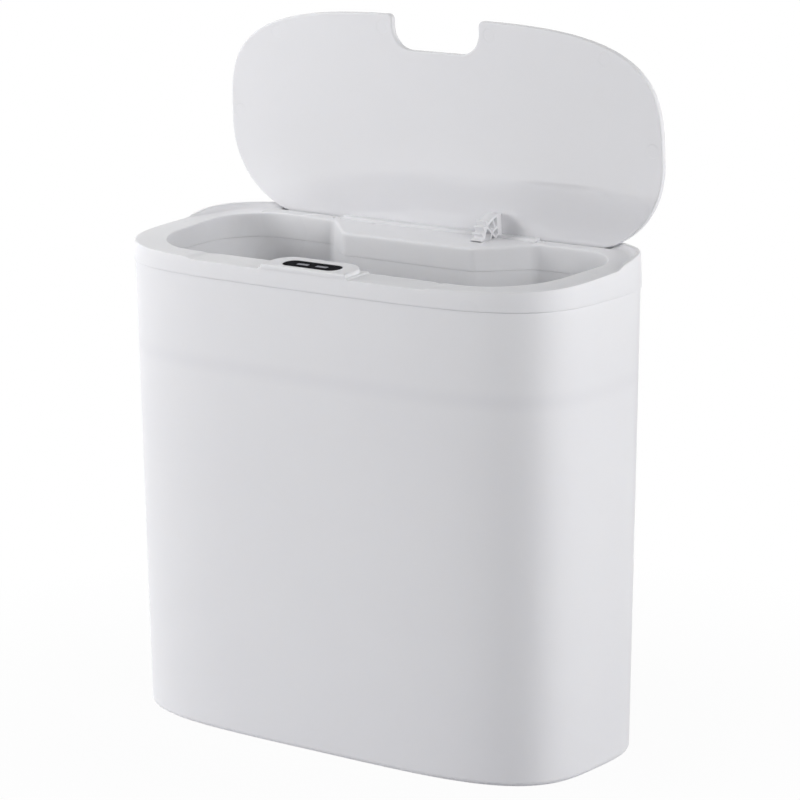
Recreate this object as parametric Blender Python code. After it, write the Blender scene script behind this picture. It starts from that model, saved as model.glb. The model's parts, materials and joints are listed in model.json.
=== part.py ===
# Slim sensor bin with a motor-driven lid, modelled open.
# Metres, +Z up. The origin is the middle of the base, +X to the bin's right, +Y to its back.
import math
from itertools import repeat

import bmesh
import bpy
from mathutils import Vector

# Clearances
SEAT_GAP = 0.0003
SHAFT_GAP = 0.0003
CUT_OVERRUN = 0.002
WELD_DEPTH = 0.001

# Bin body
BODY_WIDTH = 0.3202
BODY_DEPTH = 0.1533
BODY_HEIGHT = 0.280
BODY_TAPER = 0.00425
BODY_WALL = 0.0020
BODY_FLOOR = 0.0024
BASE_FILLET = 0.0035
FLOOR_FILLET = 0.0045
FOOT_WIDTH = 0.0085
FOOT_HEIGHT = 0.0012
BODY_POWERS = (4.144, 3.328)
OUTLINE_POINTS = 96
FILLET_STEPS = 3

# Hinge line and lid
HINGE_INSET = 0.02045
HINGE_RISE = 0.0143
LID_LEAN = math.radians(2.85)
LID_GAP = 0.0004
LID_THICKNESS = 0.0040
LID_EDGE = 0.0011
LID_SIDE_INSET = 0.0003
LID_FRONT_INSET = 0.00165
LID_TAIL = 0.0053
LID_WAIST_OFFSET = 0.0020
LID_FRONT_POWERS = (3.52, 3.56)
LID_REAR_POWERS = (5.04, 1.888)
LID_SEAT_MARGIN = 0.0005
NOTCH_GAP = 0.0007
NOTCH_LIP = 0.0035
KNUCKLE_WALL = 0.0022
KNUCKLE_SINK = 0.0005
KNUCKLE_END = 0.0727
ROD_RADIUS = 0.0015
ROD_SIDES = 16

# Head frame
BAND_PROUD = 0.0006
BAND_WALL = 0.0022
FLANGE_THICKNESS = 0.0022
RIM_OVER_HINGE = 0.0062
RIM_WALL = 0.0026
RIM_LEAD = 0.0472
RIM_RUN = 0.0410
RIM_POWER = 2.2
RIM_STEPS = 8
THROAT_WALL = 0.0018
THROAT_DROP = 0.0016
FLANGE_SIDE = 0.0169
FLANGE_SIDE_SPLAY = 0.0057
FLANGE_FRONT = 0.0178
FLANGE_REAR = 0.0283
MOUTH_FRONT_RADIUS = 0.0450
MOUTH_REAR_RADIUS = 0.0330
MOUTH_JOG = 0.0033
MOUTH_JOG_HALF = 0.0800
MOUTH_JOG_RUN = 0.0070
MOUTH_JOG_RADIUS = 0.0060
DECK_DEPTH = 0.0273
DECK_SLANT = 0.0275
DECK_RADIUS = 0.0080
DECK_MARGIN = 0.0157
SCOOP_DEPTH = 0.0010
SCOOP_START = 0.0015
SCOOP_REACH = 0.0080

# Sensor pad and window
PAD_HALF = 0.0311
PAD_DEPTH = 0.0221
PAD_CORNER = 0.0130
PAD_STEP = 0.0021
PAD_TILT = math.radians(5.0)
PAD_WALL = 0.0032
WINDOW_LENGTH = 0.0410
WINDOW_WIDTH = 0.0125
WINDOW_SETBACK = 0.0094
WINDOW_THICKNESS = 0.0016
WINDOW_SINK = 0.00015
LENS_LENGTH = 0.0084
LENS_WIDTH = 0.0030
LENS_OFFSET = 0.0069

# Trough for the lid's tail, and the ears that hold the rod
TROUGH_GAP = 0.0008
TROUGH_FLOOR_GAP = 0.0006
TROUGH_END_GAP = 0.0028
TROUGH_LEDGE = 0.0004
TROUGH_WALL = 0.0018
TROUGH_RADIUS = 0.0030
EAR_WIDTH = 0.0045
EAR_GAP = 0.0006

# Inner collar
COLLAR_DROP = 0.0510
COLLAR_GAP = 0.0005
COLLAR_WALL = 0.0016
COLLAR_BOARD_GAP = 0.0013
COLLAR_TROUGH_GAP = 0.0009
SHELF_GEAR_GAP = 0.0024
SHELF_THICKNESS = 0.0026
BOSS_RADIUS = 0.0028
BOSS_JOG_GAP = 0.0100
BOSS_SIDE_INSET = 0.0341
BOSS_THROAT_GAP = 0.0003
BOSS_REAR_INSET = 0.0132
PILOT_DEPTH = 0.0080
SCREW_RADIUS = 0.0011
SCREW_HEAD_RADIUS = 0.0024
SCREW_HEAD_HEIGHT = 0.0016
SCREW_LENGTH = 0.0062
SENSOR_SCREW_LENGTH = 0.0042
SCREW_SIDES = 12

# Gears
PRESSURE_ANGLE = math.radians(25.0)
BACKLASH = 0.00030
ADDENDUM_SHARE = 0.95
DEDENDUM_SHARE = 1.25
SECTOR_MODULE = 0.00125
SECTOR_ROUND_TEETH = 29
SECTOR_TEETH = 9
SECTOR_FIRST_ANGLE = math.radians(134.0)
SECTOR_LEFT = 0.0380
SECTOR_WIDTH = 0.0070
SECTOR_SIDE_GAP = 0.0004
SECTOR_RIM = 0.0016
SECTOR_RIB = 0.0013
SECTOR_RING = 0.0088
SECTOR_WEB = 0.0016
SECTOR_OUTER_SPOKES = (96.0, 114.0, 140.0, 173.0, 206.0, 232.0)
SECTOR_INNER_SPOKES = (94.0, 140.0, 186.0, 232.0)
SLOT_GAP = 0.0008
PINION_TEETH = 10
PINION_ANGLE = math.radians(228.0)
WHEEL_MODULE = 0.0008
WHEEL_TEETH = 22
WHEEL_WIDTH = 0.0026
WHEEL_GAP = 0.0010
FIRST_MODULE = 0.0005
FIRST_TEETH = 36
FIRST_WIDTH = 0.0020
FIRST_GAP = 0.0008
FIRST_ROOF_GAP = 0.0009
AXLE_RADIUS = 0.0010
HUB_WALL = 0.0009
MOTOR_ANGLE = 0.0
SHAFT_RADIUS = 0.0005

# Bracket that carries the gears and the motor
PLATE_THICKNESS = 0.0016
PLATE_GAP = 0.0014
PLATE_FRONT = 0.0070
PLATE_BACK = 0.0066
PLATE_RISE = 0.0134
WEB_THICKNESS = 0.0014
MOTOR_PLATE_MARGIN = 0.0012
MOTOR_PLATE_ROOF = 0.0011
CABLE_LANE = 0.0054
TAB_THICKNESS = 0.0014
TAB_WIDTH = 0.0080
TAB_SCREW_OFFSET = 0.0037

# Motor
MOTOR_HALF_DEPTH = 0.0050
MOTOR_RADIUS = 0.0060
MOTOR_LENGTH = 0.0150
MOTOR_CAP_RADIUS = 0.0048
MOTOR_CAP_LENGTH = 0.0016
MOTOR_NOSE_RADIUS = 0.0019
MOTOR_NOSE_LENGTH = 0.0012
MOTOR_BORE_DEPTH = 0.0030

# Batteries and their holder
CELL_RADIUS = 0.0071
CELL_LENGTH = 0.0492
CELL_NUB_RADIUS = 0.0027
CELL_NUB_LENGTH = 0.0012
CELL_GAP = 0.0004
CELL_SIDES = 24
HOLDER_WALL = 0.0012
HOLDER_REAR_GAP = 0.0009
CONTACT_THICKNESS = 0.0004
CONTACT_WIDTH = 0.0100
CONTACT_HEIGHT = 0.0100
SPRING_LENGTH = 0.0058
SPRING_WIRE = 0.00035
SPRING_WIDE = 0.0042
SPRING_NARROW = 0.0026
SPRING_TURNS = 4
SPRING_TURN_POINTS = 10
DOOR_LAP = 0.0014
DOOR_THICKNESS = 0.0012
DOOR_GAP = 0.0004
DOOR_RADIUS = 0.0015
DOOR_GRIP_LENGTH = 0.0080
DOOR_GRIP_WIDTH = 0.0060
DOOR_GRIP_DEPTH = 0.0006

# Power switch
SWITCH_X = -0.0300
SWITCH_SETBACK = 0.0130
SWITCH_LENGTH = 0.0130
SWITCH_WIDTH = 0.0070
SWITCH_HEIGHT = 0.0060
KNOB_LENGTH = 0.0040
KNOB_WIDTH = 0.0030
KNOB_TRAVEL = 0.0040
KNOB_RISE = 0.0020
KNOB_DROP = 0.0012
KNOB_GAP = 0.0004

# Circuit boards
BOARD_THICKNESS = 0.0016
BOARD_LENGTH = 0.0660
BOARD_DEPTH = 0.0195
BOARD_SETBACK = 0.0055
BOARD_TAB_GAP = 0.0056
BOARD_HANG = 0.0045
BOARD_POST_INSET = 0.0040
POST_RADIUS = 0.0022
CHIP_LENGTH = 0.0100
CHIP_WIDTH = 0.0060
CHIP_HEIGHT = 0.0014
CAN_RADIUS = 0.0031
CAN_HEIGHT = 0.0075
SOCKET_LENGTH = 0.0060
SOCKET_WIDTH = 0.0056
SOCKET_HEIGHT = 0.0050
SOCKET_GAP = 0.0006
SENSOR_BOARD_HALF = 0.0170
SENSOR_BOARD_WIDTH = 0.0110
SENSOR_BOARD_THICKNESS = 0.0012
SENSOR_BOARD_HANG = 0.0035
SENSOR_POST_X = 0.0140
SENSOR_POST_RADIUS = 0.0018

# Cables held inside the head
CABLE_RADIUS = 0.0010
LEAD_RADIUS = 0.0008
CABLE_INSET = 0.0070
CABLE_GAP = 0.0015
CABLE_START_ANGLE = math.radians(266.0)
CABLE_END_ANGLE = math.radians(124.0)
CABLE_RIM_POINTS = 16
CABLE_STEPS = 3

ARC_STEP = math.radians(15.0)
QUARTERS = 4
CORNER_STEPS = 4
ARC_STEPS = 6
HALF_ROUND_STEPS = 8
ROOT_STEPS = 4
SHAFT_SIDES = 8
TUBE_SIDES = 8
SHARP_ANGLE = math.radians(35.0)

# Finishes: colour, roughness and metallic share
BODY_FINISH = ((0.80, 0.80, 0.82), 0.42, 0.0)
HEAD_FINISH = ((0.80, 0.80, 0.82), 0.34, 0.0)
LID_FINISH = ((0.80, 0.80, 0.82), 0.25, 0.0)
GEAR_FINISH = ((0.72, 0.72, 0.70), 0.35, 0.0)
WINDOW_FINISH = ((0.02, 0.02, 0.022), 0.08, 0.0)
LENS_FINISH = ((0.35, 0.36, 0.38), 0.2, 0.0)
SWITCH_FINISH = ((0.02, 0.02, 0.022), 0.4, 0.0)
FITTING_FINISH = ((0.35, 0.36, 0.38), 0.5, 0.0)
BOARD_FINISH = ((0.05, 0.22, 0.10), 0.5, 0.0)
STEEL_FINISH = ((0.62, 0.62, 0.63), 0.28, 1.0)
BRASS_FINISH = ((0.72, 0.55, 0.28), 0.3, 1.0)
CELL_FINISH = ((0.72, 0.55, 0.28), 0.35, 0.6)
GREY_CABLE_FINISH = ((0.35, 0.36, 0.38), 0.45, 0.0)
RED_CABLE_FINISH = ((0.55, 0.06, 0.05), 0.45, 0.0)

# Places worked out from the sizes above
HINGE_Y = BODY_DEPTH / 2 - HINGE_INSET
HINGE_Z = BODY_HEIGHT + HINGE_RISE
HEAD_BOTTOM = BODY_HEIGHT + SEAT_GAP
HEAD_TOP = HINGE_Z + RIM_OVER_HINGE
KNUCKLE_RADIUS = ROD_RADIUS + SHAFT_GAP + KNUCKLE_WALL
LID_STANDOFF = KNUCKLE_RADIUS - KNUCKLE_SINK
LID_HALF = BODY_WIDTH / 2 - LID_SIDE_INSET
LID_REACH = HINGE_Y + BODY_DEPTH / 2 - LID_FRONT_INSET
LID_WAIST = HINGE_Y - LID_WAIST_OFFSET
NOTCH_HALF = PAD_HALF + NOTCH_GAP
NOTCH_BOTTOM = HINGE_Y + BODY_DEPTH / 2 - PAD_DEPTH - NOTCH_GAP
NOTCH_CORNER = PAD_CORNER + NOTCH_GAP
EAR_RADIUS = LID_STANDOFF - LID_GAP
TROUGH_FRONT = KNUCKLE_RADIUS + TROUGH_GAP
TROUGH_FLOOR = LID_TAIL + TROUGH_FLOOR_GAP
TROUGH_REAR = math.hypot(LID_TAIL, LID_STANDOFF + LID_THICKNESS) + TROUGH_GAP
TROUGH_UNDER = HINGE_Z - TROUGH_FLOOR - TROUGH_WALL
RIM_START = HINGE_Y - RIM_LEAD
DECK_FRONT_Y = BODY_DEPTH / 2 - FLANGE_REAR - DECK_DEPTH
THROAT_BOTTOM = BODY_HEIGHT + THROAT_DROP
COLLAR_INSET = BODY_WALL + BODY_TAPER * COLLAR_DROP / BODY_HEIGHT + COLLAR_GAP
COLLAR_BOTTOM = BODY_HEIGHT - COLLAR_DROP
WINDOW_Y = WINDOW_SETBACK - BODY_DEPTH / 2

# Gear train
SECTOR_PITCH = SECTOR_MODULE * SECTOR_ROUND_TEETH / 2
PINION_PITCH = SECTOR_MODULE * PINION_TEETH / 2
WHEEL_PITCH = WHEEL_MODULE * WHEEL_TEETH / 2
WHEEL_PINION_PITCH = WHEEL_MODULE * PINION_TEETH / 2
WHEEL_TIP = WHEEL_PITCH + WHEEL_MODULE * ADDENDUM_SHARE
FIRST_PITCH = FIRST_MODULE * FIRST_TEETH / 2
FIRST_TIP = FIRST_PITCH + FIRST_MODULE * ADDENDUM_SHARE
MOTOR_PINION_PITCH = FIRST_MODULE * PINION_TEETH / 2
HUB_RADIUS = AXLE_RADIUS + SHAFT_GAP + HUB_WALL
SECTOR_RIGHT = SECTOR_LEFT + SECTOR_WIDTH
WHEEL_LEFT = SECTOR_RIGHT + WHEEL_GAP
WHEEL_RIGHT = WHEEL_LEFT + WHEEL_WIDTH
FIRST_LEFT = WHEEL_RIGHT + FIRST_GAP
FIRST_RIGHT = FIRST_LEFT + FIRST_WIDTH
RIGHT_PLATE = FIRST_RIGHT + PLATE_GAP
LEFT_PLATE = SECTOR_LEFT - PLATE_GAP
BRACKET_LEFT = LEFT_PLATE - PLATE_THICKNESS
BRACKET_RIGHT = RIGHT_PLATE + PLATE_THICKNESS
MOTOR_LEFT = BRACKET_RIGHT + SEAT_GAP
DECK_REAR_HALF = BRACKET_RIGHT + 2 * TAB_SCREW_OFFSET + DECK_MARGIN
DECK_FRONT_HALF = DECK_REAR_HALF - DECK_SLANT


def polar(centre, distance, angle):
    return (centre[0] + distance * math.cos(angle), centre[1] + distance * math.sin(angle))


def first_gear_angle(output_z):
    """Direction that keeps the first gear's top just under the hinge trough."""
    rise = TROUGH_UNDER - FIRST_ROOF_GAP - FIRST_TIP - output_z
    return math.asin(rise / (WHEEL_PITCH + WHEEL_PINION_PITCH))


OUTPUT_AXIS = polar((HINGE_Y, HINGE_Z), SECTOR_PITCH + PINION_PITCH, PINION_ANGLE)
FIRST_ANGLE = first_gear_angle(OUTPUT_AXIS[1])
FIRST_AXIS = polar(OUTPUT_AXIS, WHEEL_PITCH + WHEEL_PINION_PITCH, FIRST_ANGLE)
MOTOR_AXIS = polar(FIRST_AXIS, FIRST_PITCH + MOTOR_PINION_PITCH, MOTOR_ANGLE)

# Batteries, shelf and boards
CABLE_Z = TROUGH_UNDER - CABLE_GAP - CABLE_RADIUS
HOLDER_TOP = CABLE_Z - CABLE_RADIUS - CABLE_GAP
CELL_Z = HOLDER_TOP - HOLDER_WALL - CELL_GAP - CELL_RADIUS
SHELF_UNDER_CELLS = CELL_Z - CELL_RADIUS - CELL_GAP - WELD_DEPTH - SEAT_GAP
SHELF_UNDER_GEARS = min(OUTPUT_AXIS[1] - WHEEL_TIP, FIRST_AXIS[1] - FIRST_TIP) - SHELF_GEAR_GAP
SHELF_TOP = min(SHELF_UNDER_CELLS, SHELF_UNDER_GEARS)
SHELF_BOTTOM = SHELF_TOP - SHELF_THICKNESS
HOLDER_RIGHT = BRACKET_LEFT - CABLE_LANE
CAVITY_RIGHT = HOLDER_RIGHT - HOLDER_WALL
CELL_STEP = CELL_LENGTH + CELL_NUB_LENGTH + SEAT_GAP
RIGHT_CELL_X = CAVITY_RIGHT - CONTACT_THICKNESS - 2 * SEAT_GAP - CELL_NUB_LENGTH - CELL_LENGTH
LEFT_CELL_X = RIGHT_CELL_X - CELL_STEP
SPRING_RIGHT = LEFT_CELL_X - SEAT_GAP
SPRING_LEFT = SPRING_RIGHT - SPRING_LENGTH
CAVITY_LEFT = SPRING_LEFT - 2 * SEAT_GAP - CONTACT_THICKNESS
HOLDER_LEFT = CAVITY_LEFT - HOLDER_WALL
HOLDER_HALF = CELL_RADIUS + CELL_GAP + HOLDER_WALL
BOARD_RIGHT = BRACKET_LEFT - 2 * TAB_SCREW_OFFSET - BOARD_TAB_GAP
BOARD_LEFT = BOARD_RIGHT - BOARD_LENGTH
BOARD_FRONT = DECK_FRONT_Y + BOARD_SETBACK
BOARD_REAR = BOARD_FRONT + BOARD_DEPTH
SWITCH_Y = DECK_FRONT_Y + SWITCH_SETBACK


def edge_y(x, inset):
    """Half depth of the bin's plan outline at a place x, moved inwards."""
    share = abs(x) / (BODY_WIDTH / 2 - inset)
    depth_share = (1 - share ** BODY_POWERS[0]) ** (1 / BODY_POWERS[1])
    return (BODY_DEPTH / 2 - inset) * depth_share


CELL_Y = edge_y(HOLDER_LEFT, COLLAR_INSET + COLLAR_WALL) - HOLDER_REAR_GAP - HOLDER_HALF


def flange_z(y):
    """Height of the sloping flange, just under the shut lid."""
    rise = (LID_STANDOFF - LID_GAP) / math.cos(LID_LEAN)
    return HINGE_Z + rise + math.tan(LID_LEAN) * (y - HINGE_Y)


def under_flange_z(y):
    return flange_z(y) - FLANGE_THICKNESS


def pad_z(y):
    """Height of the sensor pad's tilted top."""
    return flange_z(-BODY_DEPTH / 2) + PAD_STEP + math.tan(PAD_TILT) * (y + BODY_DEPTH / 2)


def signed_power(value, power):
    return math.copysign(abs(value) ** (2 / power), value)


def oval_point(angle, half_width, half_depth, powers):
    x = half_width * signed_power(math.cos(angle), powers[0])
    y = half_depth * signed_power(math.sin(angle), powers[1])
    return (x, y)


def body_outline(inset):
    """Plan outline of the bin at the seam, moved inwards."""
    half_width = BODY_WIDTH / 2 - inset
    half_depth = BODY_DEPTH / 2 - inset
    turn = 2 * math.pi / OUTLINE_POINTS
    return [oval_point(i * turn, half_width, half_depth, BODY_POWERS) for i in range(OUTLINE_POINTS)]


def rounded(corners, spread=0.0):
    """Counter-clockwise outline with rounded corners, its sides moved outwards by spread.

    A corner's radius is limited where its two sides are too short for it.
    """
    count = len(corners)
    places = [Vector(corner[:2]) for corner in corners]
    along = [(places[(i + 1) % count] - places[i]).normalized() for i in range(count)]
    turns = [math.atan2(along[i - 1].cross(along[i]), along[i - 1].dot(along[i])) for i in range(count)]
    moved = []
    for i in range(count):
        normal_sum = Vector((along[i - 1].y + along[i].y, -along[i - 1].x - along[i].x))
        moved.append(places[i] + normal_sum * spread / (1 + along[i - 1].dot(along[i])))
    tangents = []
    for corner, turn in zip(corners, turns):
        radius = max(0.0, corner[2] + math.copysign(spread, turn))
        tangents.append(radius * math.tan(abs(turn) / 2) if corner[2] else 0.0)
    fits = []
    for i in range(count):
        side = (moved[(i + 1) % count] - moved[i]).length
        fits.append(min(1.0, side / max(side, tangents[i] + tangents[(i + 1) % count])))
    points = []
    for i in range(count):
        tangent = tangents[i] * min(fits[i - 1], fits[i])
        if tangent == 0.0:
            points.append(tuple(moved[i]))
            continue
        radius = tangent / math.tan(abs(turns[i]) / 2)
        start = moved[i] - along[i - 1] * tangent
        side = math.copysign(1, turns[i])
        centre = start + Vector((-along[i - 1].y, along[i - 1].x)) * radius * side
        first = math.atan2(start.y - centre.y, start.x - centre.x)
        steps = max(1, math.ceil(abs(turns[i]) / ARC_STEP))
        for k in range(steps + 1):
            points.append(polar(centre, radius, first + turns[i] * k / steps))
    return points


def mirrored(corners):
    """Closes a list of corners given from front to back on the right with its left half."""
    return corners + [(-x, y, radius) for x, y, radius in reversed(corners)]


def mouth_corners():
    front = FLANGE_FRONT - BODY_DEPTH / 2
    rear = BODY_DEPTH / 2 - FLANGE_REAR
    half = BODY_WIDTH / 2 - FLANGE_SIDE
    return mirrored([
        (MOUTH_JOG_HALF, front + MOUTH_JOG, MOUTH_JOG_RADIUS),
        (MOUTH_JOG_HALF + MOUTH_JOG_RUN, front, MOUTH_JOG_RADIUS),
        (half - FLANGE_SIDE_SPLAY, front, MOUTH_FRONT_RADIUS),
        (half + FLANGE_SIDE_SPLAY / 2, rear, MOUTH_REAR_RADIUS),
        (DECK_REAR_HALF, rear, DECK_RADIUS),
        (DECK_FRONT_HALF, DECK_FRONT_Y, DECK_RADIUS),
    ])


def rectangle(left, right, front, rear, radius=0.0):
    corners = [(left, front, radius), (right, front, radius), (right, rear, radius), (left, rear, radius)]
    return rounded(corners)


def circle(radius, sides, centre=(0.0, 0.0)):
    return [polar(centre, radius, 2 * math.pi * i / sides) for i in range(sides)]


def place(point, height, axis):
    if axis == "x":
        return Vector((height, point[0], point[1]))
    if axis == "y":
        return Vector((point[0], height, point[1]))
    return Vector((point[0], point[1], height))


def level(height, point):
    return height(point[1]) if callable(height) else height


def extruded(points, low, high, axis="z"):
    """Solid drawn out from a flat outline; a height may be a rule of the outline's second coordinate."""
    mesh = bmesh.new()
    base = [mesh.verts.new(place(p, level(low, p), axis)) for p in points]
    face = mesh.faces.new(base)
    grown = bmesh.ops.extrude_face_region(mesh, geom=[face])
    top = [item for item in grown["geom"] if isinstance(item, bmesh.types.BMVert)]
    for vert in top:
        x, y, z = vert.co
        point = {"x": (y, z), "y": (x, z), "z": (x, y)}[axis]
        vert.co = place(point, level(high, point), axis)
    return mesh


def lofted(rings):
    """Closed solid through a stack of rings with the same number of points."""
    mesh = bmesh.new()
    rows = [[mesh.verts.new(point) for point in ring] for ring in rings]
    count = len(rows[0])
    for low, high in zip(rows, rows[1:]):
        for i in range(count):
            j = (i + 1) % count
            mesh.faces.new((low[i], low[j], high[j], high[i]))
    mesh.faces.new(list(reversed(rows[0])))
    mesh.faces.new(rows[-1])
    return mesh


def turned(stations, sides, axis="x", centre=(0.0, 0.0)):
    """Round solid from (place along the axis, radius) stations."""
    return lofted([[place(p, at, axis) for p in circle(radius, sides, centre)] for at, radius in stations])


def link(name, mesh):
    bmesh.ops.recalc_face_normals(mesh, faces=mesh.faces[:])
    data = bpy.data.meshes.new(name)
    mesh.to_mesh(data)
    mesh.free()
    data.shade_smooth()
    data.set_sharp_from_angle(angle=SHARP_ANGLE)
    item = bpy.data.objects.new(name, data)
    bpy.context.collection.objects.link(item)
    return item


def dress(item, finish):
    colour, roughness, metallic = finish
    material = bpy.data.materials.new(item.name + "_finish")
    material.use_nodes = True
    shader = material.node_tree.nodes["Principled BSDF"]
    shader.inputs["Base Color"].default_value = (*colour, 1.0)
    shader.inputs["Roughness"].default_value = roughness
    shader.inputs["Metallic"].default_value = metallic
    item.data.materials.append(material)
    return item


def piece(name, mesh, finish):
    return dress(link(name, mesh), finish)


def tool(name, mesh):
    """Guide solid for a Boolean, left out of the model itself."""
    item = link(name, mesh)
    item.hide_render = True
    item.display_type = "WIRE"
    return item


def boolean(item, other, operation):
    modifier = item.modifiers.new(other.name, "BOOLEAN")
    modifier.operation = operation
    modifier.solver = "EXACT"
    modifier.object = other


def cut(item, name, mesh):
    other = tool(name, mesh)
    boolean(item, other, "DIFFERENCE")
    return other


def add(item, name, mesh):
    other = tool(name, mesh)
    boolean(item, other, "UNION")
    return other


def body_shell():
    """Tapered bin with a foot ring, a rounded base edge and a plain rim."""
    rings = []

    def ring(inset, z):
        rings.append([Vector((x, y, z)) for x, y in body_outline(inset)])

    def wall_inset(z):
        return BODY_TAPER * (1 - z / BODY_HEIGHT)

    ring(BODY_TAPER + BASE_FILLET + FOOT_WIDTH, FOOT_HEIGHT)
    ring(BODY_TAPER + BASE_FILLET + FOOT_WIDTH, 0.0)
    for i in range(FILLET_STEPS + 1):
        angle = math.pi / 2 * i / FILLET_STEPS
        lift = BASE_FILLET * (1 - math.cos(angle))
        ring(wall_inset(lift) + BASE_FILLET * (1 - math.sin(angle)), lift)
    ring(0.0, BODY_HEIGHT)
    ring(BODY_WALL, BODY_HEIGHT)
    for i in range(FILLET_STEPS + 1):
        angle = math.pi / 2 * (1 - i / FILLET_STEPS)
        lift = BODY_FLOOR + FLOOR_FILLET * (1 - math.cos(angle))
        ring(wall_inset(lift) + BODY_WALL + FLOOR_FILLET * (1 - math.sin(angle)), lift)
    piece("body_shell", lofted(rings), BODY_FINISH)


def rim_profile():
    """Side view of the space over the rear rim: a ramp that eases up to the rim's top."""
    points = []
    for i in range(RIM_STEPS + 1):
        share = i / RIM_STEPS
        ease = 1 - (1 - share) ** RIM_POWER
        low = flange_z(RIM_START)
        points.append((RIM_START + RIM_RUN * share, low + (HEAD_TOP - low) * ease))
    front = -BODY_DEPTH
    start = (front, under_flange_z(front))
    before = (RIM_START - BAND_WALL, under_flange_z(RIM_START))
    top = HEAD_TOP + HINGE_RISE
    return [start, before] + points + [(BODY_DEPTH, HEAD_TOP), (BODY_DEPTH, top), (front, top)]


def pad_outline(spread):
    front = -BODY_DEPTH / 2 - BAND_PROUD - CUT_OVERRUN
    rear = PAD_DEPTH - BODY_DEPTH / 2
    corners = [(PAD_HALF, front, 0.0), (PAD_HALF, rear, PAD_CORNER), (-PAD_HALF, rear, PAD_CORNER)]
    return rounded(corners + [(-PAD_HALF, front, 0.0)], spread)


def lid_seat_outline():
    """Rear half of the shut lid's plan outline with a margin, drawn well forward."""
    points = []
    half = LID_HALF + LID_SEAT_MARGIN
    reach = LID_WAIST + LID_TAIL + LID_SEAT_MARGIN
    steps = OUTLINE_POINTS // 2
    for i in range(steps + 1):
        x, y = oval_point(math.pi * i / steps, half, reach, LID_REAR_POWERS)
        points.append((x, y + LID_WAIST_OFFSET))
    return points + [(-half, LID_WAIST_OFFSET - RIM_RUN), (half, LID_WAIST_OFFSET - RIM_RUN)]


def flange_space():
    """Everything above the flange that isn't rear rim or sensor pad."""
    wide = BODY_WIDTH
    sky = HEAD_TOP + HINGE_RISE
    space = tool("space_over_flange", extruded(rectangle(-wide, wide, -wide, wide), flange_z, sky))
    rim = tool("rim_ring", extruded(body_outline(-BAND_WALL), HINGE_Z - HINGE_RISE, HEAD_TOP + CUT_OVERRUN))
    cut(rim, "inside_of_rim", extruded(body_outline(RIM_WALL), HINGE_Z - 2 * HINGE_RISE, sky))
    cut(rim, "seat_of_lid", extruded(lid_seat_outline(), HINGE_Z - 2 * HINGE_RISE, sky))
    cut(rim, "space_over_rim", extruded(rim_profile(), -wide, wide, "x"))
    boolean(space, rim, "DIFFERENCE")
    pad = tool("pad_block", extruded(pad_outline(0.0), lambda y: pad_z(y) - PAD_WALL, pad_z))
    boolean(space, pad, "DIFFERENCE")
    return space, pad


def trough_outline(spread):
    corners = [
        (HINGE_Y - TROUGH_FRONT, HINGE_Z - TROUGH_FLOOR, TROUGH_RADIUS),
        (HINGE_Y + TROUGH_REAR, HINGE_Z - TROUGH_FLOOR, TROUGH_RADIUS),
        (HINGE_Y + TROUGH_REAR, HEAD_TOP, 0.0),
        (HINGE_Y - TROUGH_FRONT, HEAD_TOP, 0.0),
    ]
    return rounded(corners, spread)


def trough_half():
    """Half length that clears the open lid where it passes down through the flange."""
    height = flange_z(HINGE_Y) - HINGE_Z + LID_GAP
    depth_share = (LID_WAIST - height) / (LID_WAIST + LID_TAIL)
    width_share = (1 - depth_share ** LID_REAR_POWERS[1]) ** (1 / LID_REAR_POWERS[0])
    return LID_HALF * width_share + TROUGH_END_GAP


def collar_boss_places():
    front_x = MOUTH_JOG_HALF - BOSS_JOG_GAP
    front_y = FLANGE_FRONT + MOUTH_JOG - BODY_DEPTH / 2 - THROAT_WALL - BOSS_THROAT_GAP - BOSS_RADIUS
    rear_x = BODY_WIDTH / 2 - BOSS_SIDE_INSET
    places = []
    for side in (-1, 1):
        places.append(("front", side, side * front_x, front_y))
        places.append(("rear", side, side * rear_x, edge_y(rear_x, 0.0) - BOSS_REAR_INSET))
    return places


def board_post_places():
    return [
        ("left", BOARD_LEFT + BOARD_POST_INSET, BOARD_REAR - BOARD_POST_INSET),
        ("right", BOARD_RIGHT - BOARD_POST_INSET, BOARD_FRONT + BOARD_POST_INSET),
    ]


def bracket_screw_places():
    return [
        ("left", BRACKET_LEFT - TAB_SCREW_OFFSET, OUTPUT_AXIS[0]),
        ("right", BRACKET_RIGHT + TAB_SCREW_OFFSET, OUTPUT_AXIS[0] + PLATE_BACK / 2),
    ]


def side_name(side):
    return "left" if side < 0 else "right"


def hang_post(frame, name, x, y, radius, low, hole_depth):
    """Round post under the flange with a pilot hole from below."""
    high = under_flange_z(y) + WELD_DEPTH
    add(frame, "post_" + name, turned([(low, radius), (high, radius)], SCREW_SIDES, "z", (x, y)))
    hole = SCREW_RADIUS + SHAFT_GAP
    stations = [(low - CUT_OVERRUN, hole), (low + hole_depth, hole)]
    return "pilot_" + name, turned(stations, SCREW_SIDES, "z", (x, y))


def board_z():
    """Underside height of the main board, hung below the deck."""
    return under_flange_z(BOARD_FRONT) - BOARD_HANG - BOARD_THICKNESS


def battery_socket_y():
    return BOARD_FRONT + SOCKET_GAP + SOCKET_WIDTH / 2


def sensor_socket_y():
    return battery_socket_y() + SOCKET_WIDTH + SOCKET_GAP


def motor_socket_y():
    return BOARD_REAR - SOCKET_GAP - SOCKET_WIDTH / 2


def sensor_board_z():
    return pad_z(WINDOW_Y) - PAD_WALL - SENSOR_BOARD_HANG - SENSOR_BOARD_THICKNESS


def tab_z():
    """Top height of the bracket's tabs."""
    return OUTPUT_AXIS[1] + PLATE_RISE


def gear_slot(reach):
    """Slot that the toothed sector swings through."""
    left = SECTOR_LEFT - SLOT_GAP
    right = SECTOR_RIGHT + SLOT_GAP
    front = HINGE_Y - SECTOR_PITCH - SECTOR_MODULE - SLOT_GAP
    return rectangle(left, right, front, reach)


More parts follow.
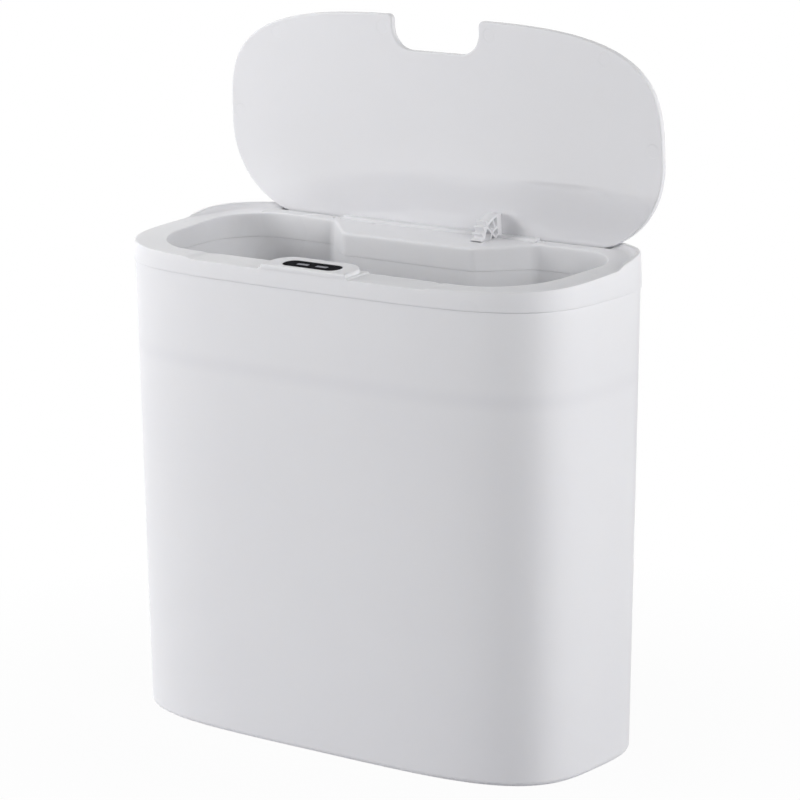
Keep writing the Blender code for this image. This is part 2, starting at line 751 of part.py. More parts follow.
def head_frame():
    """Outer band, sloping flange, rear rim, throat, hinge trough, deck and pad in one moulding."""
    steps = [(-BAND_PROUD, HEAD_BOTTOM), (0.0, HEAD_TOP + WELD_DEPTH)]
    rings = [[Vector((x, y, z)) for x, y in body_outline(inset)] for inset, z in steps]
    frame = piece("head_frame", lofted(rings), HEAD_FINISH)
    space, pad = flange_space()
    boolean(frame, space, "DIFFERENCE")
    for side in (-1, 1):
        inner = side * (PAD_HALF + SCOOP_START)
        outer = side * (MOUTH_JOG_HALF + SCOOP_REACH)
        far = -BODY_DEPTH
        corners = [(inner, far), (outer, far), (outer - side * MOUTH_JOG_RUN, 0.0), (inner, 0.0)]
        scoop = extruded(corners, lambda y: flange_z(y) - SCOOP_DEPTH, HEAD_TOP)
        cut(frame, "scoop_" + side_name(side), scoop)
    hollow = extruded(body_outline(BAND_WALL), HEAD_BOTTOM - CUT_OVERRUN, under_flange_z)
    cut(frame, "hollow_under_flange", hollow)
    throat = rounded(mouth_corners(), THROAT_WALL)
    add(frame, "throat_block", extruded(throat, THROAT_BOTTOM, lambda y: under_flange_z(y) + WELD_DEPTH))
    block_half = trough_half() + TROUGH_WALL
    block = extruded(trough_outline(TROUGH_WALL), -block_half, block_half, "x")
    roof = extruded(body_outline(WELD_DEPTH), HEAD_BOTTOM, lambda y: under_flange_z(y) + 2 * WELD_DEPTH)
    lid_space = tool("block_limit", roof)
    block = tool("trough_block", block)
    boolean(block, lid_space, "INTERSECT")
    boolean(frame, block, "UNION")
    pilots = []
    for name, side, x, y in collar_boss_places():
        label = "collar_" + name + "_" + side_name(side)
        pilots.append(hang_post(frame, label, x, y, BOSS_RADIUS, SHELF_TOP + SEAT_GAP, PILOT_DEPTH))
    for name, x, y in board_post_places():
        low = board_z() + BOARD_THICKNESS + SEAT_GAP
        pilots.append(hang_post(frame, "board_" + name, x, y, POST_RADIUS, low, BOARD_HANG))
    for name, x, y in bracket_screw_places():
        label = "bracket_" + name
        pilots.append(hang_post(frame, label, x, y, POST_RADIUS, tab_z() + SEAT_GAP, BOARD_HANG))
    mouth = extruded(rounded(mouth_corners()), HEAD_BOTTOM - CUT_OVERRUN, HEAD_TOP + CUT_OVERRUN)
    mouth = tool("mouth", mouth)
    boolean(mouth, pad, "DIFFERENCE")
    boolean(frame, mouth, "DIFFERENCE")
    trough = tool("trough", extruded(trough_outline(0.0), -trough_half(), trough_half(), "x"))
    limit = body_outline(RIM_WALL + TROUGH_LEDGE)
    inside = tool("trough_limit", extruded(limit, HEAD_BOTTOM, HEAD_TOP + HINGE_RISE))
    boolean(trough, inside, "INTERSECT")
    boolean(frame, trough, "DIFFERENCE")
    for side in (-1, 1):
        near = side * (KNUCKLE_END + EAR_GAP)
        far = near + side * EAR_WIDTH
        add(frame, "ear_" + side_name(side), extruded(ear_outline(), min(near, far), max(near, far), "x"))
    reach = KNUCKLE_END + EAR_GAP + EAR_WIDTH + CUT_OVERRUN
    bore = circle(ROD_RADIUS + SHAFT_GAP, ROD_SIDES, (HINGE_Y, HINGE_Z))
    cut(frame, "rod_bore", extruded(bore, -reach, reach, "x"))
    low = HEAD_BOTTOM - CUT_OVERRUN
    cut(frame, "gear_slot", extruded(gear_slot(HINGE_Y + TROUGH_REAR), low, HEAD_TOP))
    deep = extruded(gear_slot(BODY_DEPTH / 2 - BAND_WALL), low, HINGE_Z - ROD_RADIUS)
    cut(frame, "gear_slot_rear", deep)
    sensor_openings(frame)
    for name, mesh in pilots:
        cut(frame, name, mesh)
    return frame


def ear_outline():
    """Upright ear with a round top, which the lid swings past."""
    low = HINGE_Z - TROUGH_FLOOR - TROUGH_WALL / 2
    top = [polar((HINGE_Y, HINGE_Z), EAR_RADIUS, math.pi * i / SCREW_SIDES) for i in range(SCREW_SIDES + 1)]
    return [(HINGE_Y - EAR_RADIUS, low), (HINGE_Y + EAR_RADIUS, low)] + top


def stadium(length, width, y):
    return rectangle(-length / 2, length / 2, y - width / 2, y + width / 2, width / 2 - WINDOW_SINK)


def lens_outline(x, spread):
    half = LENS_LENGTH / 2 + spread
    deep = LENS_WIDTH / 2 + spread
    return rectangle(x - half, x + half, WINDOW_Y - deep, WINDOW_Y + deep)


def sensor_openings(frame):
    """Room for the sensor under the pad, the window's recess and the two lens holes."""
    half = PAD_HALF - THROAT_WALL
    front = BAND_WALL - BODY_DEPTH / 2
    rear = FLANGE_FRONT + MOUTH_JOG - THROAT_WALL - BODY_DEPTH / 2
    room = rectangle(-half, half, front, rear, THROAT_WALL)
    low = HEAD_BOTTOM - CUT_OVERRUN
    cut(frame, "sensor_room", extruded(room, low, lambda y: pad_z(y) - PAD_WALL))
    board_top = sensor_board_z() + SENSOR_BOARD_THICKNESS + SEAT_GAP
    for side in (-1, 1):
        x = side * SENSOR_POST_X
        stations = [(board_top, SENSOR_POST_RADIUS), (pad_z(WINDOW_Y) - PAD_WALL / 2, SENSOR_POST_RADIUS)]
        add(frame, "sensor_post_" + side_name(side), turned(stations, SCREW_SIDES, "z", (x, WINDOW_Y)))
    recess = stadium(WINDOW_LENGTH + 2 * SEAT_GAP, WINDOW_WIDTH + 2 * SEAT_GAP, WINDOW_Y)
    depth = WINDOW_SINK + WINDOW_THICKNESS + SEAT_GAP
    cut(frame, "window_recess", extruded(recess, lambda y: pad_z(y) - depth, HEAD_TOP))
    for side in (-1, 1):
        hole = lens_outline(side * LENS_OFFSET, SEAT_GAP)
        cut(frame, "lens_hole_" + side_name(side), extruded(hole, board_top, HEAD_TOP))
        hole = SCREW_RADIUS + SHAFT_GAP
        stations = [(board_top - CUT_OVERRUN, hole), (board_top + SENSOR_BOARD_HANG - SEAT_GAP, hole)]
        pilot = turned(stations, SCREW_SIDES, "z", (side * SENSOR_POST_X, WINDOW_Y))
        cut(frame, "sensor_pilot_" + side_name(side), pilot)


def battery_cavity(spread):
    front = CELL_Y - CELL_RADIUS - CELL_GAP
    rear = CELL_Y + CELL_RADIUS + CELL_GAP
    left = CAVITY_LEFT - spread
    return rectangle(left, CAVITY_RIGHT + spread, front - spread, rear + spread, DOOR_RADIUS)


def inner_collar():
    """Skirt inside the body, shelf, and the lower half of the throat."""
    top = min(sensor_board_z() - COLLAR_BOARD_GAP, TROUGH_UNDER - COLLAR_TROUGH_GAP)
    skirt = extruded(body_outline(COLLAR_INSET), COLLAR_BOTTOM, top)
    collar = piece("inner_collar", skirt, HEAD_FINISH)
    inside = body_outline(COLLAR_INSET + COLLAR_WALL)
    cut(collar, "room_below_shelf", extruded(inside, COLLAR_BOTTOM - CUT_OVERRUN, SHELF_BOTTOM))
    cut(collar, "room_above_shelf", extruded(inside, SHELF_TOP, top + CUT_OVERRUN))
    throat = rounded(mouth_corners(), THROAT_WALL)
    add(collar, "lower_throat", extruded(throat, SHELF_TOP - WELD_DEPTH, THROAT_BOTTOM - SEAT_GAP))
    cut(collar, "lower_mouth", extruded(rounded(mouth_corners()), COLLAR_BOTTOM, top + CUT_OVERRUN))
    below = SHELF_BOTTOM - CUT_OVERRUN
    cut(collar, "battery_opening", extruded(battery_cavity(0.0), below, SHELF_TOP + CUT_OVERRUN))
    recess = SHELF_BOTTOM + DOOR_THICKNESS + SEAT_GAP
    cut(collar, "door_recess", extruded(battery_cavity(DOOR_LAP), below, recess))
    cut(collar, "knob_slot", extruded(knob_slot(), below, SHELF_TOP + CUT_OVERRUN))
    for name, side, x, y in collar_boss_places():
        hole = SCREW_RADIUS + SHAFT_GAP
        stations = [(below, hole), (SHELF_TOP + CUT_OVERRUN, hole)]
        mesh = turned(stations, SCREW_SIDES, "z", (x, y))
        cut(collar, "screw_hole_" + name + "_" + side_name(side), mesh)
    notch = gear_slot(BODY_DEPTH / 2)
    cut(collar, "gear_clearance", extruded(notch, OUTPUT_AXIS[1] - PINION_PITCH, top + CUT_OVERRUN))


def knob_slot():
    half = (KNOB_LENGTH + KNOB_TRAVEL) / 2 + KNOB_GAP
    deep = KNOB_WIDTH / 2 + KNOB_GAP
    return rectangle(SWITCH_X - half, SWITCH_X + half, SWITCH_Y - deep, SWITCH_Y + deep)


def lid_outline():
    """Lid outline as (x, distance from the hinge), with the notch that clears the pad."""
    steps = OUTLINE_POINTS // QUARTERS
    front = []
    for i in range(steps + 1):
        x, y = oval_point(math.pi / 2 * i / steps, LID_HALF, LID_REACH - LID_WAIST, LID_FRONT_POWERS)
        front.append((x, y + LID_WAIST))
    rear = []
    for i in range(1, steps + 1):
        x, y = oval_point(-math.pi / 2 * i / steps, LID_HALF, LID_WAIST + LID_TAIL, LID_REAR_POWERS)
        rear.append((x, y + LID_WAIST))
    lip = NOTCH_HALF + NOTCH_LIP
    share = lip / LID_HALF
    depth_share = (1 - share ** LID_FRONT_POWERS[0]) ** (1 / LID_FRONT_POWERS[1])
    edge = LID_WAIST + (LID_REACH - LID_WAIST) * depth_share
    right = [point for point in front if point[0] > lip]
    for i in range(CORNER_STEPS + 1):
        angle = math.pi / 2 * (1 + i / CORNER_STEPS)
        right.append(polar((lip, edge - NOTCH_LIP), NOTCH_LIP, angle))
    corner = (NOTCH_HALF - NOTCH_CORNER, NOTCH_BOTTOM + NOTCH_CORNER)
    for i in range(ARC_STEPS + 1):
        right.append(polar(corner, NOTCH_CORNER, -math.pi / 2 * i / ARC_STEPS))
    right = list(reversed(rear)) + right
    left = [(-x, y) for x, y in reversed(right)]
    return right + left[:-1]


def lid_panel(carrier):
    """Flat lid with an eased edge, and the hinge barrel along its underside."""
    sheet = extruded(lid_outline(), LID_STANDOFF, LID_STANDOFF + LID_THICKNESS, "y")
    panel = piece("lid_panel", sheet, LID_FINISH)
    panel.parent = carrier
    edge = panel.modifiers.new("eased_edge", "BEVEL")
    edge.width = LID_EDGE
    edge.segments = 2
    edge.limit_method = "ANGLE"
    edge.angle_limit = SHARP_ANGLE * 2
    back = LID_STANDOFF + LID_EDGE
    top = [polar((0.0, 0.0), KNUCKLE_RADIUS, math.pi / 2 + math.pi * i / HALF_ROUND_STEPS)
           for i in range(HALF_ROUND_STEPS + 1)]
    knuckle = [(back, KNUCKLE_RADIUS)] + top + [(back, -KNUCKLE_RADIUS)]
    barrel = tool("barrel", extruded(knuckle, -KNUCKLE_END, KNUCKLE_END, "x"))
    barrel.parent = carrier
    boolean(panel, barrel, "UNION")
    reach = 2 * KNUCKLE_RADIUS
    gap = extruded(
        rectangle(-reach, LID_STANDOFF, -reach, reach),
        SECTOR_LEFT - SECTOR_SIDE_GAP,
        SECTOR_RIGHT + SECTOR_SIDE_GAP,
        "x",
    )
    bore = extruded(circle(ROD_RADIUS + SHAFT_GAP, ROD_SIDES), -reach - KNUCKLE_END, reach + KNUCKLE_END, "x")
    for name, mesh in (("sector_gap", gap), ("barrel_bore", bore)):
        other = cut(panel, name, mesh)
        other.parent = carrier


def involute(angle):
    return math.tan(angle) - angle


def half_tooth_angle(teeth, module, radius):
    """Half the angle that a tooth spans at a radius."""
    pitch = module * teeth / 2
    base = pitch * math.cos(PRESSURE_ANGLE)
    at_pitch = (math.pi * module - BACKLASH) / (4 * pitch)
    pressure = math.acos(min(1.0, base / radius))
    return at_pitch + involute(PRESSURE_ANGLE) - involute(pressure)


def tooth(teeth, module, angle):
    """Outline of one tooth, from its leading root to its trailing root."""
    pitch = module * teeth / 2
    base = pitch * math.cos(PRESSURE_ANGLE)
    root = pitch - DEDENDUM_SHARE * module
    tip = pitch + ADDENDUM_SHARE * module
    flank = [max(base, root), pitch, tip]
    halves = [half_tooth_angle(teeth, module, radius) for radius in flank]
    points = [polar((0.0, 0.0), root, angle - halves[0])]
    points += [polar((0.0, 0.0), r, angle - half) for r, half in zip(flank, halves)]
    points += [polar((0.0, 0.0), r, angle + half) for r, half in reversed(list(zip(flank, halves)))]
    points.append(polar((0.0, 0.0), root, angle + halves[0]))
    if base <= root:
        points = points[1:-1]
    return points


def gear_outline(teeth, module, first_angle):
    points = []
    for i in range(teeth):
        points += tooth(teeth, module, first_angle + 2 * math.pi * i / teeth)
    return points


def mesh_angle(line, driver_tooth, driver_teeth, driven_teeth):
    """Angle of a driven tooth that meets a driver whose own tooth is at driver_tooth."""
    gap = driver_tooth + math.pi / driver_teeth
    return line + math.pi + (line - gap) * driver_teeth / driven_teeth


def sector_pocket(low, high, inner, outer):
    """Pocket between two spokes, which are angles in degrees, and two rings."""
    points = []
    first = math.radians(low) - LID_LEAN
    last = math.radians(high) - LID_LEAN
    for radius, start, end in ((outer, first, last), (inner, last, first)):
        slack = math.copysign(SECTOR_RIB / 2 / radius, end - start)
        steps = max(1, math.ceil(abs(end - start) / ARC_STEP))
        for i in range(steps + 1):
            points.append(polar((0.0, 0.0), radius, start + slack + (end - start - 2 * slack) * i / steps))
    return points


def sector_gear(carrier):
    """Toothed sector under the lid: smooth rim first, then the teeth that reach the pinion."""
    lean = LID_LEAN
    pitch_step = 2 * math.pi / SECTOR_ROUND_TEETH
    root = SECTOR_PITCH - DEDENDUM_SHARE * SECTOR_MODULE
    face = LID_STANDOFF - SEAT_GAP
    first = SECTOR_FIRST_ANGLE - lean
    start = math.acos(face / root)
    half = half_tooth_angle(SECTOR_ROUND_TEETH, SECTOR_MODULE, root)
    points = [(face, root * math.sin(start))]
    for i in range(1, ROOT_STEPS):
        points.append(polar((0.0, 0.0), root, start + (first - half - start) * i / ROOT_STEPS))
    for i in range(SECTOR_TEETH):
        points += tooth(SECTOR_ROUND_TEETH, SECTOR_MODULE, first + pitch_step * i)
    last = first + pitch_step * (SECTOR_TEETH - 1)
    points.append(polar((0.0, 0.0), root, last + half + pitch_step / 4))
    lower = -math.acos(face / KNUCKLE_RADIUS)
    hub_start = last + pitch_step
    hub_end = 2 * math.pi + lower
    for i in range(ARC_STEPS + 1):
        points.append(polar((0.0, 0.0), KNUCKLE_RADIUS, hub_start + (hub_end - hub_start) * i / ARC_STEPS))
    gear = piece("sector_gear", extruded(points, SECTOR_LEFT, SECTOR_RIGHT, "x"), GEAR_FINISH)
    gear.parent = carrier
    beyond = SECTOR_RIGHT + CUT_OVERRUN
    bore = extruded(circle(ROD_RADIUS + SHAFT_GAP, ROD_SIDES), SECTOR_LEFT - CUT_OVERRUN, beyond, "x")
    cut(gear, "sector_bore", bore).parent = carrier
    inner = KNUCKLE_RADIUS + SECTOR_RIB / 2
    outer = root - SECTOR_RIM
    ring = SECTOR_RIB / 2
    pockets = list(zip(SECTOR_OUTER_SPOKES, SECTOR_OUTER_SPOKES[1:], repeat((SECTOR_RING + ring, outer))))
    pockets += zip(SECTOR_INNER_SPOKES, SECTOR_INNER_SPOKES[1:], repeat((inner, SECTOR_RING - ring)))
    for number, (low, high, radii) in enumerate(pockets):
        mesh = extruded(sector_pocket(low, high, *radii), SECTOR_LEFT + SECTOR_WEB, beyond, "x")
        cut(gear, "sector_pocket_" + str(number), mesh).parent = carrier


def gear_train():
    """Compound gears and motor pinion, each with its origin on its own axis."""
    pinion_tooth = mesh_angle(PINION_ANGLE, SECTOR_FIRST_ANGLE, SECTOR_ROUND_TEETH, PINION_TEETH)
    drive = gear_outline(PINION_TEETH, SECTOR_MODULE, pinion_tooth)
    output = piece("output_gear", extruded(drive, SECTOR_LEFT, WHEEL_LEFT + WELD_DEPTH, "x"), GEAR_FINISH)
    wheel = gear_outline(WHEEL_TEETH, WHEEL_MODULE, pinion_tooth)
    hub = [(LEFT_PLATE + SEAT_GAP, HUB_RADIUS), (RIGHT_PLATE - SEAT_GAP, HUB_RADIUS)]
    add_local(output, "output_wheel", extruded(wheel, WHEEL_LEFT, WHEEL_RIGHT, "x"), "UNION")
    add_local(output, "output_hub", turned(hub, ROD_SIDES), "UNION")
    move(output, OUTPUT_AXIS)
    bore(output)
    first_tooth = mesh_angle(FIRST_ANGLE, pinion_tooth, WHEEL_TEETH, PINION_TEETH)
    small = gear_outline(PINION_TEETH, WHEEL_MODULE, first_tooth)
    first = piece("first_gear", extruded(small, WHEEL_LEFT, FIRST_LEFT + FIRST_WIDTH / 2, "x"), GEAR_FINISH)
    large = gear_outline(FIRST_TEETH, FIRST_MODULE, first_tooth)
    add_local(first, "first_wheel", extruded(large, FIRST_LEFT, FIRST_RIGHT, "x"), "UNION")
    hub = [(FIRST_LEFT, HUB_RADIUS), (RIGHT_PLATE - SEAT_GAP, HUB_RADIUS)]
    add_local(first, "first_hub", turned(hub, ROD_SIDES), "UNION")
    move(first, FIRST_AXIS)
    bore(first)
    motor_tooth = mesh_angle(MOTOR_ANGLE, first_tooth, FIRST_TEETH, PINION_TEETH)
    outline = gear_outline(PINION_TEETH, FIRST_MODULE, motor_tooth)
    mesh = extruded(outline, FIRST_LEFT, RIGHT_PLATE - PLATE_GAP / 2, "x")
    pinion = piece("motor_pinion", mesh, BRASS_FINISH)
    shaft = [(FIRST_LEFT - FIRST_GAP / 2, SHAFT_RADIUS), (MOTOR_LEFT + MOTOR_BORE_DEPTH / 2, SHAFT_RADIUS)]
    add_local(pinion, "motor_shaft", turned(shaft, SHAFT_SIDES), "UNION")
    move(pinion, MOTOR_AXIS)


def add_local(item, name, mesh, operation):
    """Boolean tool that shares its piece's origin."""
    other = tool(name, mesh)
    other.parent = item
    boolean(item, other, operation)


def move(item, axis):
    item.location = (0.0, axis[0], axis[1])


def bore(item):
    hole = [(LEFT_PLATE, AXLE_RADIUS + SHAFT_GAP), (RIGHT_PLATE, AXLE_RADIUS + SHAFT_GAP)]
    add_local(item, item.name + "_bore", turned(hole, ROD_SIDES), "DIFFERENCE")


def axles():
    rod_end = KNUCKLE_END + EAR_GAP + EAR_WIDTH - SEAT_GAP
    rod = turned([(-rod_end, ROD_RADIUS), (rod_end, ROD_RADIUS)], ROD_SIDES)
    move(piece("hinge_rod", rod, STEEL_FINISH), (HINGE_Y, HINGE_Z))
    right = BRACKET_RIGHT
    output = turned([(BRACKET_LEFT, AXLE_RADIUS), (right, AXLE_RADIUS)], ROD_SIDES)
    move(piece("output_axle", output, STEEL_FINISH), OUTPUT_AXIS)
    first = turned([(WHEEL_LEFT - SEAT_GAP, AXLE_RADIUS), (right, AXLE_RADIUS)], ROD_SIDES)
    move(piece("first_axle", first, STEEL_FINISH), FIRST_AXIS)


def gear_bracket():
    """Two plates joined by a web, hung from the deck by two tabs."""
    low = SHELF_TOP + SEAT_GAP
    front = OUTPUT_AXIS[0] - PLATE_FRONT
    back = OUTPUT_AXIS[0] + PLATE_BACK
    high = tab_z()
    left_end = BRACKET_LEFT
    right_end = BRACKET_RIGHT
    plate = rectangle(front, back, low, high)
    bracket = piece("gear_bracket", extruded(plate, left_end, LEFT_PLATE, "x"), FITTING_FINISH)
    step = MOTOR_AXIS[0] - MOTOR_HALF_DEPTH - CABLE_LANE / 2
    rear = MOTOR_AXIS[0] + MOTOR_HALF_DEPTH + MOTOR_PLATE_MARGIN
    floor = MOTOR_AXIS[1] - MOTOR_RADIUS - MOTOR_PLATE_MARGIN
    roof = TROUGH_UNDER - MOTOR_PLATE_ROOF
    right_plate = [(front, low), (step, low), (step, floor), (rear, floor)]
    right_plate += [(rear, roof), (back, roof), (back, high), (front, high)]
    add(bracket, "right_plate", extruded(right_plate, RIGHT_PLATE, right_end, "x"))
    inset = PLATE_THICKNESS / 4
    web = rectangle(left_end + inset, right_end - inset, front + inset, back - inset)
    add(bracket, "web", extruded(web, low + inset, low + inset + WEB_THICKNESS))
    for name, x, y in bracket_screw_places():
        half = TAB_WIDTH / 2
        left = x - TAB_SCREW_OFFSET if name == "left" else right_end - inset
        right = left_end + inset if name == "left" else x + TAB_SCREW_OFFSET
        tab = rectangle(left, right, y - half, min(y + half, back - inset))
        add(bracket, "tab_" + name, extruded(tab, high - TAB_THICKNESS, high - inset))
        hole = SCREW_RADIUS + SHAFT_GAP
        stations = [(high - 2 * TAB_THICKNESS, hole), (high + CUT_OVERRUN, hole)]
        cut(bracket, "tab_hole_" + name, turned(stations, SCREW_SIDES, "z", (x, y)))
    for name, axis, radius, left in (
        ("output", OUTPUT_AXIS, AXLE_RADIUS + SHAFT_GAP, left_end - CUT_OVERRUN),
        ("first", FIRST_AXIS, AXLE_RADIUS + SHAFT_GAP, RIGHT_PLATE - CUT_OVERRUN),
        ("motor", MOTOR_AXIS, MOTOR_NOSE_RADIUS + SHAFT_GAP, RIGHT_PLATE - CUT_OVERRUN),
    ):
        hole = extruded(circle(radius, ROD_SIDES, axis), left, right_end + CUT_OVERRUN, "x")
        cut(bracket, "hole_" + name, hole)


def motor():
    """Flat-sided motor can with a nose, a rear cap and a bearing bore."""
    can = []
    for y, z in circle(MOTOR_RADIUS, 2 * ROD_SIDES):
        can.append((max(-MOTOR_HALF_DEPTH, min(MOTOR_HALF_DEPTH, y)), z))
    end = MOTOR_LEFT + MOTOR_LENGTH
    item = piece("motor", extruded(can, MOTOR_LEFT, end, "x"), STEEL_FINISH)
    cap = [(end - WELD_DEPTH, MOTOR_CAP_RADIUS), (end + MOTOR_CAP_LENGTH, MOTOR_CAP_RADIUS)]
    add_local(item, "motor_cap", turned(cap, ROD_SIDES), "UNION")
    tip = MOTOR_LEFT - MOTOR_NOSE_LENGTH
    nose = [(tip, MOTOR_NOSE_RADIUS), (MOTOR_LEFT + WELD_DEPTH, MOTOR_NOSE_RADIUS)]
    add_local(item, "motor_nose", turned(nose, ROD_SIDES), "UNION")
    hole = SHAFT_RADIUS + SHAFT_GAP
    bearing = [(MOTOR_LEFT - 2 * MOTOR_NOSE_LENGTH, hole), (MOTOR_LEFT + MOTOR_BORE_DEPTH, hole)]
    add_local(item, "motor_bearing", turned(bearing, SHAFT_SIDES), "DIFFERENCE")
    move(item, MOTOR_AXIS)


def batteries():
    """Holder, two cells in line, flat contacts and the spring at the left end."""
    front = CELL_Y - HOLDER_HALF
    rear = CELL_Y + HOLDER_HALF
    low = SHELF_TOP + SEAT_GAP
    outline = rectangle(HOLDER_LEFT, HOLDER_RIGHT, front, rear, DOOR_RADIUS)
    holder = piece("battery_holder", extruded(outline, low, HOLDER_TOP), FITTING_FINISH)
    inside = battery_cavity(0.0)
    cut(holder, "holder_inside", extruded(inside, low - CUT_OVERRUN, HOLDER_TOP - HOLDER_WALL))
    stations = [
        (0.0, CELL_RADIUS),
        (CELL_LENGTH, CELL_RADIUS),
        (CELL_LENGTH, CELL_NUB_RADIUS),
        (CELL_LENGTH + CELL_NUB_LENGTH, CELL_NUB_RADIUS),
    ]
    for name, x in (("battery_left", LEFT_CELL_X), ("battery_right", RIGHT_CELL_X)):
        cell = piece(name, turned(stations, CELL_SIDES), CELL_FINISH)
        cell.location = (x, CELL_Y, CELL_Z)
    half = CONTACT_WIDTH / 2
    plate = rectangle(-half, half, -CONTACT_HEIGHT / 2, CONTACT_HEIGHT / 2)
    for name, x in (
        ("contact_left", CAVITY_LEFT + SEAT_GAP),
        ("contact_right", CAVITY_RIGHT - SEAT_GAP - CONTACT_THICKNESS),
    ):
        contact = piece(name, extruded(plate, 0.0, CONTACT_THICKNESS, "x"), STEEL_FINISH)
        contact.location = (x, CELL_Y, CELL_Z)
    points = []
    total = SPRING_TURNS * SPRING_TURN_POINTS
    run = SPRING_LENGTH - 2 * SPRING_WIRE
    for i in range(total + 1):
        share = i / total
        radius = SPRING_WIDE + (SPRING_NARROW - SPRING_WIDE) * share
        y, z = polar((0.0, 0.0), radius, 2 * math.pi * i / SPRING_TURN_POINTS)
        points.append((SPRING_WIRE + run * share, y, z))
    spring = tube("contact_spring", points, SPRING_WIRE, STEEL_FINISH)
    spring.location = (SPRING_LEFT, CELL_Y, CELL_Z)


def tube(name, points, radius, finish):
    """Round tube along a list of points, with closed ends."""
    route = [Vector(point) for point in points]
    along = (route[1] - route[0]).normalized()
    across = along.orthogonal().normalized()
    rings = []
    for i, point in enumerate(route):
        ahead = (route[min(i + 1, len(route) - 1)] - point).normalized()
        behind = (point - route[max(i - 1, 0)]).normalized()
        along = (ahead + behind).normalized()
        across = (across - along * across.dot(along)).normalized()
        other = along.cross(across)
        rings.append([point + across * u + other * v for u, v in circle(radius, TUBE_SIDES)])
    return piece(name, lofted(rings), finish)


def smooth_route(points, steps):
    """Points of a smooth curve through the route's own points."""
    route = [Vector(point) for point in points]
    padded = [2 * route[0] - route[1]] + route + [2 * route[-1] - route[-2]]
    curve = []
    for before, a, b, after in zip(padded, padded[1:], padded[2:], padded[3:]):
        reach = (b - a).length
        leave = (b - before).normalized() * reach
        arrive = (after - a).normalized() * reach
        for k in range(steps):
            t = k / steps
            span = a * (2 * t ** 3 - 3 * t ** 2 + 1) + b * (3 * t ** 2 - 2 * t ** 3)
            curve.append(span + leave * (t ** 3 - 2 * t ** 2 + t) + arrive * (t ** 3 - t ** 2))
    curve.append(route[-1])
    return curve


def cables():
    """Sensor lead round the left channel, and the short motor and battery leads."""
    board = sensor_board_z() + SENSOR_BOARD_THICKNESS / 2
    start = -SENSOR_BOARD_HALF - SEAT_GAP
    points = [(start, WINDOW_Y, board), (start - CABLE_INSET / 2, WINDOW_Y, board)]
    half_width = BODY_WIDTH / 2 - CABLE_INSET
    half_depth = BODY_DEPTH / 2 - CABLE_INSET
    for i in range(CABLE_RIM_POINTS + 1):
        angle = CABLE_START_ANGLE + (CABLE_END_ANGLE - CABLE_START_ANGLE) * i / CABLE_RIM_POINTS
        x, y = oval_point(angle, half_width, half_depth, BODY_POWERS)
        points.append((x, y, CABLE_Z))
    socket_z = board_z() - SOCKET_HEIGHT / 2
    lane = HOLDER_LEFT + HOLDER_WALL
    points.append((lane, CELL_Y, CABLE_Z))
    points.append((lane - BOARD_LEFT / 2, CELL_Y - CELL_RADIUS, CABLE_Z))
    points.append((BOARD_LEFT - 2 * SOCKET_LENGTH, BOARD_REAR, (CABLE_Z + socket_z) / 2))
    points.append((BOARD_LEFT - SOCKET_LENGTH / 2, sensor_socket_y(), socket_z))
    points.append((BOARD_LEFT - SEAT_GAP, sensor_socket_y(), socket_z))
    tube("sensor_cable", smooth_route(points, CABLE_STEPS), CABLE_RADIUS, GREY_CABLE_FINISH)
    lead = LEAD_RADIUS + SEAT_GAP
    end = MOTOR_LEFT + MOTOR_LENGTH + MOTOR_CAP_LENGTH + SEAT_GAP
    low = SHELF_TOP + 2 * lead
    turn = end + 3 * lead
    right_socket = BOARD_RIGHT + SEAT_GAP
    lane = (HOLDER_RIGHT + BRACKET_LEFT) / 2
    route = [
        (end, MOTOR_AXIS[0], MOTOR_AXIS[1]),
        (end + lead, MOTOR_AXIS[0], MOTOR_AXIS[1]),
        (turn, MOTOR_AXIS[0], MOTOR_AXIS[1] - 2 * lead),
        (turn, MOTOR_AXIS[0], low + 2 * lead),
        (end, MOTOR_AXIS[0], low),
        (MOTOR_LEFT, MOTOR_AXIS[0], low),
        (RIGHT_PLATE - PLATE_GAP, MOTOR_AXIS[0], low),
        (SECTOR_LEFT, MOTOR_AXIS[0] - lead, low),
        (lane, CELL_Y, low + lead),
        (lane, CELL_Y - CELL_RADIUS, low + 4 * lead),
        (lane, BOARD_REAR + lead, socket_z - SOCKET_HEIGHT),
        (right_socket + 3 * lead, motor_socket_y(), socket_z),
        (right_socket + lead, motor_socket_y(), socket_z),
        (right_socket, motor_socket_y(), socket_z),
    ]
    tube("motor_cable", smooth_route(route, CABLE_STEPS), LEAD_RADIUS, RED_CABLE_FINISH)
    exit_y = CELL_Y - HOLDER_HALF - SEAT_GAP
    exit_x = BOARD_LEFT - 3 * SOCKET_LENGTH
    left_socket = BOARD_LEFT - SEAT_GAP
    route = [
        (exit_x, exit_y, CELL_Z),
        (exit_x, exit_y - lead, CELL_Z),
        (exit_x + 2 * lead, exit_y - 5 * lead, CELL_Z + 2 * lead),
        (left_socket - SOCKET_LENGTH, battery_socket_y() + SOCKET_WIDTH, socket_z - 2 * lead),
        (left_socket - 2 * lead, battery_socket_y(), socket_z),
        (left_socket, battery_socket_y(), socket_z),
    ]
    tube("battery_cable", smooth_route(route, CABLE_STEPS), LEAD_RADIUS, RED_CABLE_FINISH)


